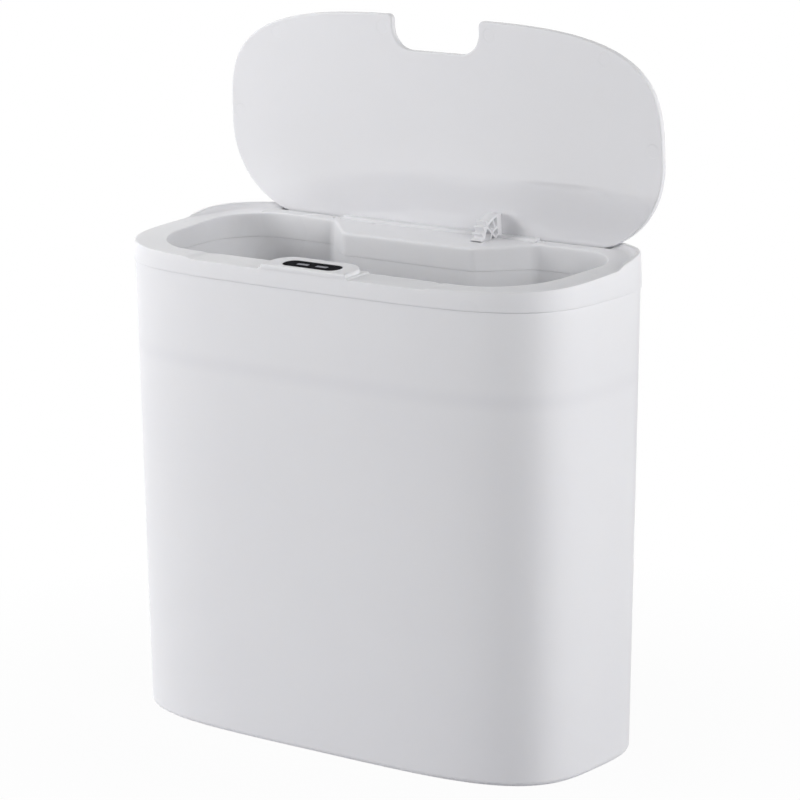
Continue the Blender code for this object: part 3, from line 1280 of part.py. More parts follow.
def battery_door():
    """Door that drops off the underside of the shelf, with a finger recess."""
    spread = DOOR_LAP - DOOR_GAP
    centre_x = (CAVITY_LEFT + CAVITY_RIGHT) / 2
    half = (CAVITY_RIGHT - CAVITY_LEFT) / 2 + spread
    deep = CELL_RADIUS + CELL_GAP + spread
    mesh = extruded(rectangle(-half, half, -deep, deep, DOOR_RADIUS), 0.0, DOOR_THICKNESS)
    door = piece("battery_door", mesh, HEAD_FINISH)
    door.location = (centre_x, CELL_Y, SHELF_BOTTOM)
    right = half - DOOR_GRIP_LENGTH / 2
    side = DOOR_GRIP_WIDTH / 2
    grip = rectangle(right - DOOR_GRIP_LENGTH, right, -side, side, DOOR_RADIUS)
    add_local(door, "door_grip", extruded(grip, -CUT_OVERRUN, DOOR_GRIP_DEPTH), "DIFFERENCE")


def power_switch():
    """Slide switch on the shelf with its knob below."""
    half = SWITCH_LENGTH / 2
    deep = SWITCH_WIDTH / 2
    low = SHELF_TOP + SEAT_GAP
    case = rectangle(SWITCH_X - half, SWITCH_X + half, SWITCH_Y - deep, SWITCH_Y + deep)
    case = extruded(case, low, low + SWITCH_HEIGHT)
    case = piece("power_switch", case, SWITCH_FINISH)
    cut(case, "switch_inside", extruded(knob_slot(), low - CUT_OVERRUN, low + KNOB_RISE + KNOB_GAP))
    x = SWITCH_X - KNOB_TRAVEL / 2
    knob = rectangle(-KNOB_LENGTH / 2, KNOB_LENGTH / 2, -KNOB_WIDTH / 2, KNOB_WIDTH / 2)
    knob = piece("switch_knob", extruded(knob, -SHELF_THICKNESS - KNOB_DROP, KNOB_RISE), SWITCH_FINISH)
    knob.location = (x, SWITCH_Y, SHELF_TOP)


def boards():
    """Main board under the deck and the small sensor board under the pad."""
    low = board_z()
    mesh = extruded(rectangle(BOARD_LEFT, BOARD_RIGHT, BOARD_FRONT, BOARD_REAR), low, low + BOARD_THICKNESS)
    board = piece("main_pcb", mesh, BOARD_FINISH)
    weld = low + BOARD_THICKNESS / 2
    middle = (BOARD_LEFT + BOARD_RIGHT) / 2
    centre = (BOARD_FRONT + BOARD_REAR) / 2
    half = CHIP_LENGTH / 2
    deep = CHIP_WIDTH / 2
    chip = rectangle(middle - half, middle + half, centre - deep, centre + deep)
    add(board, "chip", extruded(chip, low - CHIP_HEIGHT, weld))
    stations = [(low - CAN_HEIGHT, CAN_RADIUS), (weld, CAN_RADIUS)]
    add(board, "can", turned(stations, ROD_SIDES, "z", (middle + CHIP_LENGTH, centre)))
    for name, left, y in (
        ("sensor_socket", BOARD_LEFT, sensor_socket_y()),
        ("battery_socket", BOARD_LEFT, battery_socket_y()),
        ("motor_socket", BOARD_RIGHT - SOCKET_LENGTH, motor_socket_y()),
    ):
        outline = rectangle(left, left + SOCKET_LENGTH, y - SOCKET_WIDTH / 2, y + SOCKET_WIDTH / 2)
        add(board, name, extruded(outline, low - SOCKET_HEIGHT, weld))
    hole = SCREW_RADIUS + SHAFT_GAP
    for name, x, y in board_post_places():
        stations = [(low - CUT_OVERRUN, hole), (low + 2 * BOARD_THICKNESS, hole)]
        cut(board, "board_hole_" + name, turned(stations, SCREW_SIDES, "z", (x, y)))
    low = sensor_board_z()
    half = SENSOR_BOARD_WIDTH / 2
    outline = rectangle(-SENSOR_BOARD_HALF, SENSOR_BOARD_HALF, WINDOW_Y - half, WINDOW_Y + half)
    board = piece("sensor_pcb", extruded(outline, low, low + SENSOR_BOARD_THICKNESS), BOARD_FINISH)
    for side in (-1, 1):
        stations = [(low - CUT_OVERRUN, hole), (low + 2 * SENSOR_BOARD_THICKNESS, hole)]
        mesh = turned(stations, SCREW_SIDES, "z", (side * SENSOR_POST_X, WINDOW_Y))
        cut(board, "sensor_board_hole_" + side_name(side), mesh)


def sensor_window():
    """Glossy black window with two holes, and the emitter and receiver that show in them."""
    low = WINDOW_SINK + WINDOW_THICKNESS
    outline = stadium(WINDOW_LENGTH, WINDOW_WIDTH, WINDOW_Y)
    mesh = extruded(outline, lambda y: pad_z(y) - low, lambda y: pad_z(y) - WINDOW_SINK)
    window = piece("sensor_window", mesh, WINDOW_FINISH)
    for side, name in ((-1, "ir_emitter"), (1, "ir_receiver")):
        hole = extruded(lens_outline(side * LENS_OFFSET, SEAT_GAP), BODY_HEIGHT, HEAD_TOP)
        cut(window, "window_hole_" + side_name(side), hole)
        lens_low = sensor_board_z() + SENSOR_BOARD_THICKNESS + SEAT_GAP
        lens = extruded(lens_outline(side * LENS_OFFSET, 0.0), lens_low, lambda y: pad_z(y) - WINDOW_SINK)
        piece(name, lens, LENS_FINISH)


def screw(name, x, y, seat, length=SCREW_LENGTH):
    """Pan-head screw driven upwards; seat is the height of the face that its head bears on."""
    head = seat - SEAT_GAP
    stations = [
        (head - SCREW_HEAD_HEIGHT, SCREW_HEAD_RADIUS / 2),
        (head - SCREW_HEAD_HEIGHT / 2, SCREW_HEAD_RADIUS),
        (head, SCREW_HEAD_RADIUS),
        (head, SCREW_RADIUS),
        (head + length, SCREW_RADIUS),
    ]
    shifted = [(at - head, radius) for at, radius in stations]
    item = piece(name, turned(shifted, SCREW_SIDES, "z"), STEEL_FINISH)
    item.location = (x, y, head)


def screws():
    for name, side, x, y in collar_boss_places():
        screw("collar_screw_" + name + "_" + side_name(side), x, y, SHELF_BOTTOM)
    for name, x, y in board_post_places():
        screw("board_screw_" + name, x, y, board_z())
    for name, x, y in bracket_screw_places():
        screw("bracket_screw_" + name, x, y, tab_z() - TAB_THICKNESS)
    for side in (-1, 1):
        name = "sensor_screw_" + side_name(side)
        screw(name, side * SENSOR_POST_X, WINDOW_Y, sensor_board_z(), SENSOR_SCREW_LENGTH)


def main():
    for item in list(bpy.data.objects):
        bpy.data.objects.remove(item, do_unlink=True)
    body_shell()
    head_frame()
    inner_collar()
    carrier = bpy.data.objects.new("lid_hinge_axis", None)
    bpy.context.collection.objects.link(carrier)
    carrier.location = (0.0, HINGE_Y, HINGE_Z)
    carrier.rotation_euler = (LID_LEAN, 0.0, 0.0)
    lid_panel(carrier)
    sector_gear(carrier)
    gear_train()
    axles()
    gear_bracket()
    motor()
    batteries()
    battery_door()
    power_switch()
    boards()
    sensor_window()
    cables()
    screws()


main()
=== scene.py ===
import json
import math

import bmesh
import bpy
from mathutils import Matrix, Vector


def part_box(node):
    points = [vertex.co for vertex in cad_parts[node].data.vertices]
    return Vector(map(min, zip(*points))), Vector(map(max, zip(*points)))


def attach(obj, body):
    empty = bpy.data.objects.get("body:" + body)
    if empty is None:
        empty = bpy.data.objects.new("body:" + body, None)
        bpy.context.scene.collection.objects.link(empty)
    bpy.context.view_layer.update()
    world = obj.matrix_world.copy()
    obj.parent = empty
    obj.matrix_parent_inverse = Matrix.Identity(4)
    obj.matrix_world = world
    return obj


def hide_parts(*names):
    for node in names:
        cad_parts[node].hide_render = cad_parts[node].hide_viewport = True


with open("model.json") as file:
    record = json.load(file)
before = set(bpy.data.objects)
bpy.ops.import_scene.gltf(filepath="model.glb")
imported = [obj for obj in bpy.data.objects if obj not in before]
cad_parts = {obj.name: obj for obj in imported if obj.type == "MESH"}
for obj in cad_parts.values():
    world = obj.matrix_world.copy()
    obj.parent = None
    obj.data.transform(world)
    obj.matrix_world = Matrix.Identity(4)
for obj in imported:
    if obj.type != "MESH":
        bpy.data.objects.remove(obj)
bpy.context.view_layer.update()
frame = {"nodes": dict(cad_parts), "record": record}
nodes = frame["nodes"]

# Shapes are made in millimetres and turned to metres when a piece is finished
mm = 0.001


def nodeBox(name):
    # lowest and highest corner of a CAD node, in millimetres
    return [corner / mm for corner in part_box(name)]


bodyHigh = nodeBox("body_shell")[1]
rodLow, rodHigh = nodeBox("hinge_rod")
halfWidth = bodyHigh.x
halfDepth = bodyHigh.y
bodyHeight = bodyHigh.z
hingeY = (rodLow.y + rodHigh.y) / 2
hingeZ = (rodLow.z + rodHigh.z) / 2
print("scene: frame loaded, body", [round(value, 2) for value in bodyHigh])


# Camera of the photograph, fitted to the bin's outline: degrees and millimetres
camera = {"azimuth": 36.7432, "elevation": 12.5919, "roll": -0.3858, "distance": 2179.88,
          "target": (12.354, 0.0, 203.122), "lens": 164.505}


def outwards(azimuth, elevation):
    # direction away from the bin: azimuth runs from the front to the right, both in radians
    return Vector((math.sin(azimuth) * math.cos(elevation), -math.cos(azimuth) * math.cos(elevation),
                   math.sin(elevation)))


def placeCamera():
    azimuth, elevation, roll = (math.radians(camera[key]) for key in ("azimuth", "elevation", "roll"))
    back = outwards(azimuth, elevation)
    right = Vector((math.cos(azimuth), math.sin(azimuth), 0.0))
    up = back.cross(right)
    turned = (math.cos(roll) * right + math.sin(roll) * up,
              math.cos(roll) * up - math.sin(roll) * right, back)
    data = bpy.data.cameras.new("photoCamera")
    data.lens = camera["lens"]
    item = bpy.data.objects.new("photoCamera", data)
    bpy.context.scene.collection.objects.link(item)
    eye = (Vector(camera["target"]) + back * camera["distance"]) * mm
    item.matrix_world = Matrix.Translation(eye) @ Matrix(turned).transposed().to_4x4()
    bpy.context.scene.camera = item


placeCamera()
print("scene: camera placed")


def linear(hexColour):
    # sRGB hex to the linear colour that nodes take
    channels = [int(hexColour[i:i + 2], 16) / 255 for i in (1, 3, 5)]
    return [c / 12.92 if c <= 0.04045 else ((c + 0.055) / 1.055) ** 2.4 for c in channels] + [1.0]


def addNode(tree, kind, settings=None, links=None):
    # settings go to the node's own values or, by socket name or number, to its inputs
    node = tree.nodes.new(kind)
    for key, value in (settings or {}).items():
        if isinstance(key, str) and hasattr(node, key):
            setattr(node, key, value)
        else:
            node.inputs[key].default_value = value
    for key, source in (links or {}).items():
        tree.links.new(source, node.inputs[key])
    return node


def newMaterial(name):
    material = bpy.data.materials.new(name)
    material.use_nodes = True
    material.node_tree.nodes.clear()
    return material, material.node_tree


def finishMaterial(tree, shader):
    output = addNode(tree, "ShaderNodeOutputMaterial")
    tree.links.new(shader.outputs["BSDF"], output.inputs["Surface"])


def tones(tree, noise, look):
    # the look's two colours mixed by a noise, and a gloss that goes up and down with them
    colour = addNode(tree, "ShaderNodeMix", {"data_type": "RGBA", 6: linear(look["colour"]),
                                             7: linear(look["shade"])}, {0: noise.outputs["Fac"]})
    # most of a noise lies between 0.3 and 0.7
    gloss = addNode(tree, "ShaderNodeMapRange", {"From Min": 0.3, "From Max": 0.7,
                                                 "To Min": look["roughness"] - look["spread"],
                                                 "To Max": look["roughness"] + look["spread"]},
                    {"Value": noise.outputs["Fac"]})
    return colour.outputs[2], gloss.outputs["Result"]


def moulded(name, look):
    # Injection-moulded plastic: fine spark-eroded grain in the bump, slow unevenness in colour and gloss
    material, tree = newMaterial(name)
    place = addNode(tree, "ShaderNodeTexCoord").outputs["Object"]
    slow = addNode(tree, "ShaderNodeTexNoise", {"Scale": 1 / (look["cloud"] * mm), "Detail": 2.0},
                   {"Vector": place})
    grain = addNode(tree, "ShaderNodeTexNoise", {"Scale": 1 / (look["grain"] * mm), "Detail": 3.0},
                    {"Vector": place})
    shown, gloss = tones(tree, slow, look)
    if "paintedShadowHeight" in look:
        # painted shadow: the collar's edge behind the wall stops some light, so a soft darker ring is painted
        # into the colour at its height
        height = addNode(tree, "ShaderNodeSeparateXYZ", {}, {0: place}).outputs["Z"]
        off = addNode(tree, "ShaderNodeMath", {"operation": "SUBTRACT", 1: look["paintedShadowHeight"] * mm},
                      {0: height})
        away = addNode(tree, "ShaderNodeMath", {"operation": "ABSOLUTE"}, {0: off.outputs[0]})
        share = addNode(tree, "ShaderNodeMapRange",
                        {"interpolation_type": "SMOOTHSTEP", "From Max": look["paintedShadowHalf"] * mm,
                         "To Min": 1.0, "To Max": 0.0}, {"Value": away.outputs[0]})
        # the painted shadow's colour mixed into the surface colour
        ring = addNode(tree, "ShaderNodeMix", {"data_type": "RGBA", 7: linear(look["paintedShadowColour"])},
                       {0: share.outputs["Result"], 6: shown})
        shown = ring.outputs[2]
    bump = addNode(tree, "ShaderNodeBump", {"Strength": look["relief"], "Distance": look["depth"] * mm},
                   {"Height": grain.outputs["Fac"]})
    shader = addNode(tree, "ShaderNodeBsdfPrincipled",
                     {"IOR": look["ior"], "Specular IOR Level": look.get("specular", 0.5),
                      "Subsurface Weight": look.get("glow", 0.0), "Subsurface Radius": (1.0, 0.95, 0.9),
                      "Subsurface Scale": look.get("glowDepth", 1.0) * mm},
                     {"Base Color": shown, "Roughness": gloss, "Normal": bump.outputs["Normal"]})
    finishMaterial(tree, shader)
    return material


def metal(name, look):
    # Drawn or plated metal: faint lines along the draw and a slight change of tone
    material, tree = newMaterial(name)
    place = addNode(tree, "ShaderNodeTexCoord").outputs["Object"]
    stretch = addNode(tree, "ShaderNodeMapping", {"Scale": look["stretch"]}, {"Vector": place})
    lines = addNode(tree, "ShaderNodeTexNoise", {"Scale": 1 / (look["line"] * mm), "Detail": 2.0},
                    {"Vector": stretch.outputs["Vector"]})
    shown, gloss = tones(tree, lines, look)
    shader = addNode(tree, "ShaderNodeBsdfPrincipled", {"Metallic": 1.0},
                     {"Base Color": shown, "Roughness": gloss})
    finishMaterial(tree, shader)
    return material


# White polypropylene, spark-eroded outside: satin, with a soft glow from light inside the wall, and a painted
# shadow ring at the height of the collar's lower edge
bodyPlastic = moulded("satinWhitePolypropylene", {
    "colour": "#F2F2F4", "shade": "#EEEEF1", "cloud": 90.0, "grain": 0.7, "relief": 0.08, "depth": 0.05,
    "roughness": 0.42, "spread": 0.03, "ior": 1.49, "specular": 0.3, "glow": 0.25, "glowDepth": 2.0,
    "paintedShadowHeight": 228.0, "paintedShadowHalf": 8.0, "paintedShadowColour": "#EDEDF0"})
# White ABS, finer grain: a little glossier than the body
headPlastic = moulded("fineWhiteAbs", {
    "colour": "#F3F3F5", "shade": "#EFEFF2", "cloud": 70.0, "grain": 0.5, "relief": 0.05, "depth": 0.04,
    "roughness": 0.3, "spread": 0.03, "ior": 1.53, "specular": 0.15, "glow": 0.35, "glowDepth": 2.5})
# White ABS, polished underneath: a faint mirror of the head and the pale room. Its IOR and its
# specular level are above those of plain ABS, so that the mirror shows as much as in the photograph.
lidPlastic = moulded("glossyWhiteAbs", {
    "colour": "#EDEDF0", "shade": "#EAEAED", "cloud": 80.0, "grain": 0.6, "relief": 0.01, "depth": 0.01,
    "roughness": 0.03, "spread": 0.01, "ior": 1.7, "specular": 0.72, "glow": 0.25, "glowDepth": 2.0})
# Natural acetal: milky white, waxy
gearPlastic = moulded("naturalAcetal", {
    "colour": "#EEEEF0", "shade": "#E9E9EC", "cloud": 12.0, "grain": 0.3, "relief": 0.05, "depth": 0.02,
    "roughness": 0.34, "spread": 0.04, "ior": 1.48, "glow": 0.3, "glowDepth": 1.2})
# Smoked acrylic over the sensor: near black. Its specular level is far below that of real acrylic,
# because the photograph shows hardly any reflection in it.
smokedAcrylic = moulded("smokedAcrylic", {
    "colour": "#0B0B0F", "shade": "#101015", "cloud": 8.0, "grain": 0.4, "relief": 0.01, "depth": 0.01,
    "roughness": 0.09, "spread": 0.02, "ior": 1.49, "specular": 0.002})
# Infrared filter epoxy on the emitter and the receiver: dull grey with a slight violet cast
filterEpoxy = moulded("greyFilterEpoxy", {
    "colour": "#85858D", "shade": "#7A7A83", "cloud": 3.0, "grain": 0.3, "relief": 0.03, "depth": 0.01,
    "roughness": 0.38, "spread": 0.04, "ior": 1.54})
# Dark grey nylon of the battery holder and the gear bracket: matt, with a coarse grain
darkNylon = moulded("darkGlassFilledNylon", {
    "colour": "#34353A", "shade": "#2B2C31", "cloud": 20.0, "grain": 0.4, "relief": 0.12, "depth": 0.04,
    "roughness": 0.55, "spread": 0.05, "ior": 1.53})
# Solder mask over glass epoxy: dark green, half gloss
boardMask = moulded("greenSolderMask", {
    "colour": "#1E5B3A", "shade": "#184D31", "cloud": 6.0, "grain": 0.6, "relief": 0.1, "depth": 0.03,
    "roughness": 0.3, "spread": 0.05, "ior": 1.5})
# Soft PVC cable covers: even colour, satin
greyCable = moulded("greyPvc", {
    "colour": "#8A8C92", "shade": "#7E8086", "cloud": 10.0, "grain": 0.3, "relief": 0.08, "depth": 0.03,
    "roughness": 0.48, "spread": 0.05, "ior": 1.52})
redCable = moulded("redPvc", {
    "colour": "#A8252A", "shade": "#98201F", "cloud": 10.0, "grain": 0.3, "relief": 0.08, "depth": 0.03,
    "roughness": 0.48, "spread": 0.05, "ior": 1.52})
# Shrink wrap of the cells: one plain colour, half gloss
cellWrap = moulded("cellShrinkWrap", {
    "colour": "#3A5E86", "shade": "#33547A", "cloud": 15.0, "grain": 0.8, "relief": 0.05, "depth": 0.03,
    "roughness": 0.3, "spread": 0.04, "ior": 1.5})
# Black polyamide of the switch and its knob: nearly black, matt
blackSwitch = moulded("blackPolyamide", {
    "colour": "#17171A", "shade": "#1D1D21", "cloud": 5.0, "grain": 0.3, "relief": 0.1, "depth": 0.03,
    "roughness": 0.5, "spread": 0.05, "ior": 1.53})
# Zinc-plated steel of the rod, axles, screws, contacts and the motor can: pale grey, fine lines along it
platedSteel = metal("zincPlatedSteel", {
    "colour": "#C9CBCD", "shade": "#B4B7BA", "stretch": (0.05, 1.0, 1.0), "line": 0.25,
    "roughness": 0.3, "spread": 0.06})
# Turned brass of the motor's pinion: warm, with fine lines round it
turnedBrass = metal("turnedBrass", {
    "colour": "#D9B46A", "shade": "#C79F55", "stretch": (1.0, 0.05, 0.05), "line": 0.2,
    "roughness": 0.28, "spread": 0.05})
slotMaterials = {"body_plastic": bodyPlastic, "head_plastic": headPlastic, "lid_plastic": lidPlastic,
                 "gear_plastic": gearPlastic, "pinion_brass": turnedBrass, "window_black": smokedAcrylic,
                 "lens_grey": filterEpoxy, "steel": platedSteel, "dark_plastic": darkNylon,
                 "board_green": boardMask, "cable_grey": greyCable, "cable_red": redCable,
                 "battery_wrap": cellWrap, "switch_black": blackSwitch}


def dressFrame():
    # every CAD node that stays gets the material of its slot in the record
    for entry in frame["record"]["subparts"]:
        item = nodes[entry["node"]]
        item.data.materials.clear()
        item.data.materials.append(slotMaterials[entry["material_slot"]])


dressFrame()
print("scene: materials made")


def newShape():
    bm = bmesh.new()
    bm.verts.layers.int.new("order")
    return bm


def startRing(bm, places):
    # a circle whose corners, in their order, go to the given places
    order = bm.verts.layers.int["order"]
    verts = bmesh.ops.create_circle(bm, segments=len(places), radius=1.0)["verts"]
    verts.sort(key=lambda vert: math.atan2(vert.co.y, vert.co.x))
    for i, vert in enumerate(verts):
        vert.co = places[i]
        vert[order] = i
    return list(dict.fromkeys(edge for vert in verts for edge in vert.link_edges))


def nextRing(bm, edges, places):
    # the ring is drawn out and each corner goes to its place
    order = bm.verts.layers.int["order"]
    grown = bmesh.ops.extrude_edge_only(bm, edges=edges)["geom"]
    for item in grown:
        if isinstance(item, bmesh.types.BMVert):
            item.co = places[item[order]]
    return [item for item in grown if isinstance(item, bmesh.types.BMEdge)]


def loft(bm, rings, startClosed=False, endClosed=False):
    first = startRing(bm, rings[0])
    last = first
    for ring in rings[1:]:
        last = nextRing(bm, last, ring)
    if startClosed:
        fillFlat(bm, first)
    if endClosed:
        fillFlat(bm, last)
    return first, last


def fillFlat(bm, *loops):
    # a flat face with holes: the first loop is its border, the rest are its holes
    bmesh.ops.triangle_fill(bm, use_beauty=True, edges=[edge for loop in loops for edge in loop])


sharpAngle = math.radians(40.0)  # faces that meet at more than this stay sharp


def makeObject(name, bm):
    # faces outwards, millimetres to metres, and an object at the origin
    bmesh.ops.recalc_face_normals(bm, faces=bm.faces)
    bmesh.ops.scale(bm, vec=(mm, mm, mm), verts=bm.verts)
    mesh = bpy.data.meshes.new(name)
    bm.to_mesh(mesh)
    bm.free()
    item = bpy.data.objects.new(name, mesh)
    bpy.context.scene.collection.objects.link(item)
    return item


def smoothFaces(mesh):
    mesh.shade_smooth()
    mesh.set_sharp_from_angle(angle=sharpAngle)


def finishPiece(name, bm, material, body, replaced=()):
    bm.verts.layers.int.remove(bm.verts.layers.int["order"])
    item = makeObject(name, bm)
    smoothFaces(item.data)
    item.data.materials.append(material)
    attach(item, body)
    if replaced:
        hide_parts(*replaced)
    return item


def arcShares(steps):
    # sideways and downwards shares of a quarter round, from the flat to the wall
    angles = [math.pi / 2 * i / steps for i in range(steps + 1)]
    return [(1 - math.sin(angle), 1 - math.cos(angle)) for angle in angles]


def smoothShare(value):
    share = min(1.0, max(0.0, value))
    return share * share * (3 - 2 * share)


def signedPower(value, power):
    return math.copysign(abs(value) ** power, value)


def ovalPoint(angle, width, depth, powers):
    x = width * signedPower(math.cos(angle), 2 / powers[0])
    y = depth * signedPower(math.sin(angle), 2 / powers[1])
    return Vector((x, y))


def evenAngles(width, depth, powers, count, first=0.0, last=2 * math.pi):
    # angles at which an oval's points lie at even steps along it
    shortSteps = count * 40
    fine = [first + (last - first) * i / shortSteps for i in range(shortSteps + 1)]
    places = [ovalPoint(angle, width, depth, powers) for angle in fine]
    lengths = [0.0]
    for a, b in zip(places, places[1:]):
        lengths.append(lengths[-1] + (b - a).length)
    angles = []
    k = 0
    for i in range(count):
        goal = lengths[-1] * i / count
        while lengths[k + 1] < goal:
            k += 1
        angles.append(fine[k] + (fine[k + 1] - fine[k]) * (goal - lengths[k]) / (lengths[k + 1] - lengths[k]))
    return angles


def roundedOutline(corners, step):
    # counter-clockwise (x, y, radius) corners to an outline with a point for each step in degrees
    leastTurn = 0.001
    places = [Vector(corner[:2]) for corner in corners]
    points = []
    for i, corner in enumerate(corners):
        before = (places[i] - places[i - 1]).normalized()
        after = (places[(i + 1) % len(places)] - places[i]).normalized()
        turn = math.atan2(before.cross(after), before.dot(after))
        if not corner[2] or abs(turn) < leastTurn:
            points.append(places[i])
            continue
        side = math.copysign(1, turn)
        start = places[i] - before * corner[2] * math.tan(abs(turn) / 2)
        centre = start + Vector((-before.y, before.x)) * corner[2] * side
        count = max(2, math.ceil(math.degrees(abs(turn)) / step))
        for k in range(count + 1):
            spoke = start - centre
            spoke.rotate(Matrix.Rotation(turn * k / count, 2))
            points.append(centre + spoke)
    return points


def sideStep(points, spreads):
    # each corner moved outwards by its own spread, and not too far out at a sharp corner
    leastShare = 0.35
    if not isinstance(spreads, list):
        spreads = [spreads] * len(points)
    moved = []
    for i, point in enumerate(points):
        before = (point - points[i - 1]).normalized()
        after = (points[(i + 1) % len(points)] - point).normalized()
        outward = Vector((before.y + after.y, -before.x - after.x)).normalized()
        share = max(leastShare, outward.dot(Vector((before.y, -before.x))))
        moved.append(point + outward * spreads[i] / share)
    return moved


def raised(points, height):
    # a flat outline set at a height, or on a sloping face given as a rule of x and y
    return [Vector((p.x, p.y, height(p.x, p.y) if callable(height) else height)) for p in points]


shell = {"powers": (4.144, 3.328), "points": 340, "taper": 4.25, "wall": 2.0, "floor": 2.4,
         "baseFillet": 3.5, "floorFillet": 4.5, "footWidth": 8.5, "footHeight": 1.2, "lip": 0.5, "steps": 6,
         "levels": (60.0, 140.0, 220.0)}
bodyAngles = evenAngles(halfWidth, halfDepth, shell["powers"], shell["points"])


def bodyPoint(angle, inset):
    return ovalPoint(angle, halfWidth - inset, halfDepth - inset, shell["powers"])


def bodyRing(inset, z):
    return raised([bodyPoint(angle, inset) for angle in bodyAngles], z)


def edgeY(x, inset):
    # rear edge of the body's outline at x
    share = min(1.0, abs(x) / (halfWidth - inset))
    return (halfDepth - inset) * (1 - share ** shell["powers"][0]) ** (1 / shell["powers"][1])


def makeShell():
    steps, fillet, lip = shell["steps"], shell["baseFillet"], shell["lip"]
    wall, floor, floorFillet = shell["wall"], shell["floor"], shell["floorFillet"]

    def draft(z):
        return shell["taper"] * (1 - z / bodyHeight)

    footInner = shell["taper"] + fillet + shell["footWidth"]
    rings = [bodyRing(footInner, shell["footHeight"]), bodyRing(footInner, lip),
             bodyRing(footInner - lip, 0.0)]
    # up the outside, over the lip and down the inside to the floor
    for side, drop in arcShares(steps):
        rings.append(bodyRing(draft(fillet * drop) + fillet * side, fillet * drop))
    rings += [bodyRing(draft(z), z) for z in shell["levels"]]
    for side, drop in reversed(arcShares(steps)):
        rings.append(bodyRing(lip * side, bodyHeight - lip * drop))
    for side, drop in arcShares(steps):
        rings.append(bodyRing(wall - lip * side, bodyHeight - lip * drop))
    rings += [bodyRing(draft(z) + wall, z) for z in reversed(shell["levels"])]
    for side, drop in reversed(arcShares(steps)):
        z = floor + floorFillet * drop
        rings.append(bodyRing(draft(z) + wall + floorFillet * side, z))
    bm = newShape()
    loft(bm, rings, startClosed=True, endClosed=True)
    finishPiece("binShell", bm, bodyPlastic, "bin", ("body_shell",))


makeShell()
print("scene: bin made")


# The lid stands at a lean; its own heights are measured along it from the hinge
lid = {"lean": 2.85, "standoff": 3.5, "thickness": 4.0, "gap": 0.4, "halfWidth": 159.8, "waist": 54.2,
       "reach": 131.2, "tail": 5.3, "frontPowers": (3.52, 3.56), "rearPowers": (5.04, 1.888), "points": 90,
       "edge": 1.1, "edgeSteps": 5, "edgeFlat": 0.5, "notchHalf": 31.8, "notchDepth": 22.8,
       "notchCorner": 13.7, "notchLip": 3.5, "notchSpace": 0.5, "barrel": 4.0, "barrelHalf": 72.7,
       "barrelGap": (37.6, 45.4), "barrelEase": 0.6, "ejectorRadius": 4.2, "ejectorDepth": 0.12,
       "ejectorFlat": 0.2, "ejectorEase": 0.15, "ejectors": ((39.5, 123.2), (121.0, 114.7), (153.0, 63.2))}
lean = math.radians(lid["lean"])


def flangeZ(x, y):
    # the sloping flange, just under the shut lid
    return hingeZ + (lid["standoff"] - lid["gap"]) / math.cos(lean) + math.tan(lean) * (y - hingeY)


# Head frame: outer band, rear rim, flange, mouth with the motor deck behind it, and scoops beside the pad
head = {"bottom": 280.1, "top": 300.5, "thickness": 2.2, "proud": 0.6, "bandWall": 2.2, "bandEdge": 0.9,
        "bandEase": 0.15, "bandWaist": 4.0, "waistShare": 0.85, "rimWall": 2.6, "rimThinnest": 1.1,
        "rimStart": 9.0, "rimRun": 41.0, "rimPower": 2.2, "rimLeast": 0.02, "rimCrest": 0.6, "rimFoot": 5.0,
        "edgeShare": 0.45, "crestShare": 0.4, "footShare": 0.95, "footLeast": 0.5, "footGap": 1.2,
        "footReach": 1.0, "footSlope": 0.8, "footFlat": 0.5, "seatMargin": 0.5, "seatStart": 0.4,
        "seatRun": 1.2, "mouthFront": -58.85, "mouthRear": 48.35, "mouthHalf": 143.2, "splay": 5.7,
        "frontCorner": 45.0, "rearCorner": 33.0, "jog": 3.3, "jogHalf": 80.0, "jogRun": 7.0,
        "jogCorner": 6.0, "deckRearHalf": 77.5, "deckFrontHalf": 50.0, "deckFront": 21.05,
        "deckCorner": 10.0, "deckShift": 4.0, "mouthEdge": 1.0, "mouthDrop": 3.0, "deckEdge": 1.7,
        "deckEaseY": (16.0, 6.0), "deckEaseX": (84.0, 8.0), "throatWall": 1.8, "throatBottom": 281.6,
        "throatEase": 0.12, "scoop": 1.0, "scoopInner": 32.6, "scoopOuter": 88.0, "scoopRun": 7.0,
        "scoopInnerStep": 1.2, "scoopOuterStep": 6.0, "scoopRear": -30.0, "scoopSkin": 1.5,
        "scoopMerge": 0.0005, "dimples": ((151.7, 0.2), (94.5, -66.4)), "dimpleRadius": 1.9,
        "dimpleSteps": ((0.3, 0.0), (0.0, 0.0), (-0.5, -0.2), (-1.0, -0.3))}
# Trough behind the deck for the hinge, and the slot that the toothed sector swings through
trough = {"half": 123.4, "front": 51.4, "coverFront": 57.6, "coverStart": 78.6, "rear": 66.2,
          "floor": 288.4, "corner": 3.0, "wall": 1.8, "edge": 0.4, "edgeFlat": 0.3, "openingCorner": 0.5,
          "topDrop": 1.0, "outerInset": 0.6, "station": 8.0, "slotLeft": 37.2, "slotRight": 45.8,
          "slotFront": 36.0, "slotCorner": 0.6, "rimGap": 3.3, "markX": -43.5, "markHalf": 2.8,
          "markStem": 0.4, "markTip": 3.2, "earInner": 73.3, "earOuter": 77.8, "earRadius": 3.1,
          "earSink": 0.5, "earEase": 0.3, "endPlaces": (121.0, 118.5, 116.0, 113.0, 110.0, 107.0)}


def rimRise(x, y):
    # height of the rear rim over the flange, easing up from where it starts
    share = min(1.0, max(0.0, (y - head["rimStart"]) / head["rimRun"]))
    low = flangeZ(x, head["rimStart"])
    level = low + (head["top"] - low) * (1 - (1 - share) ** head["rimPower"])
    return max(0.0, level - flangeZ(x, y)) if share else 0.0


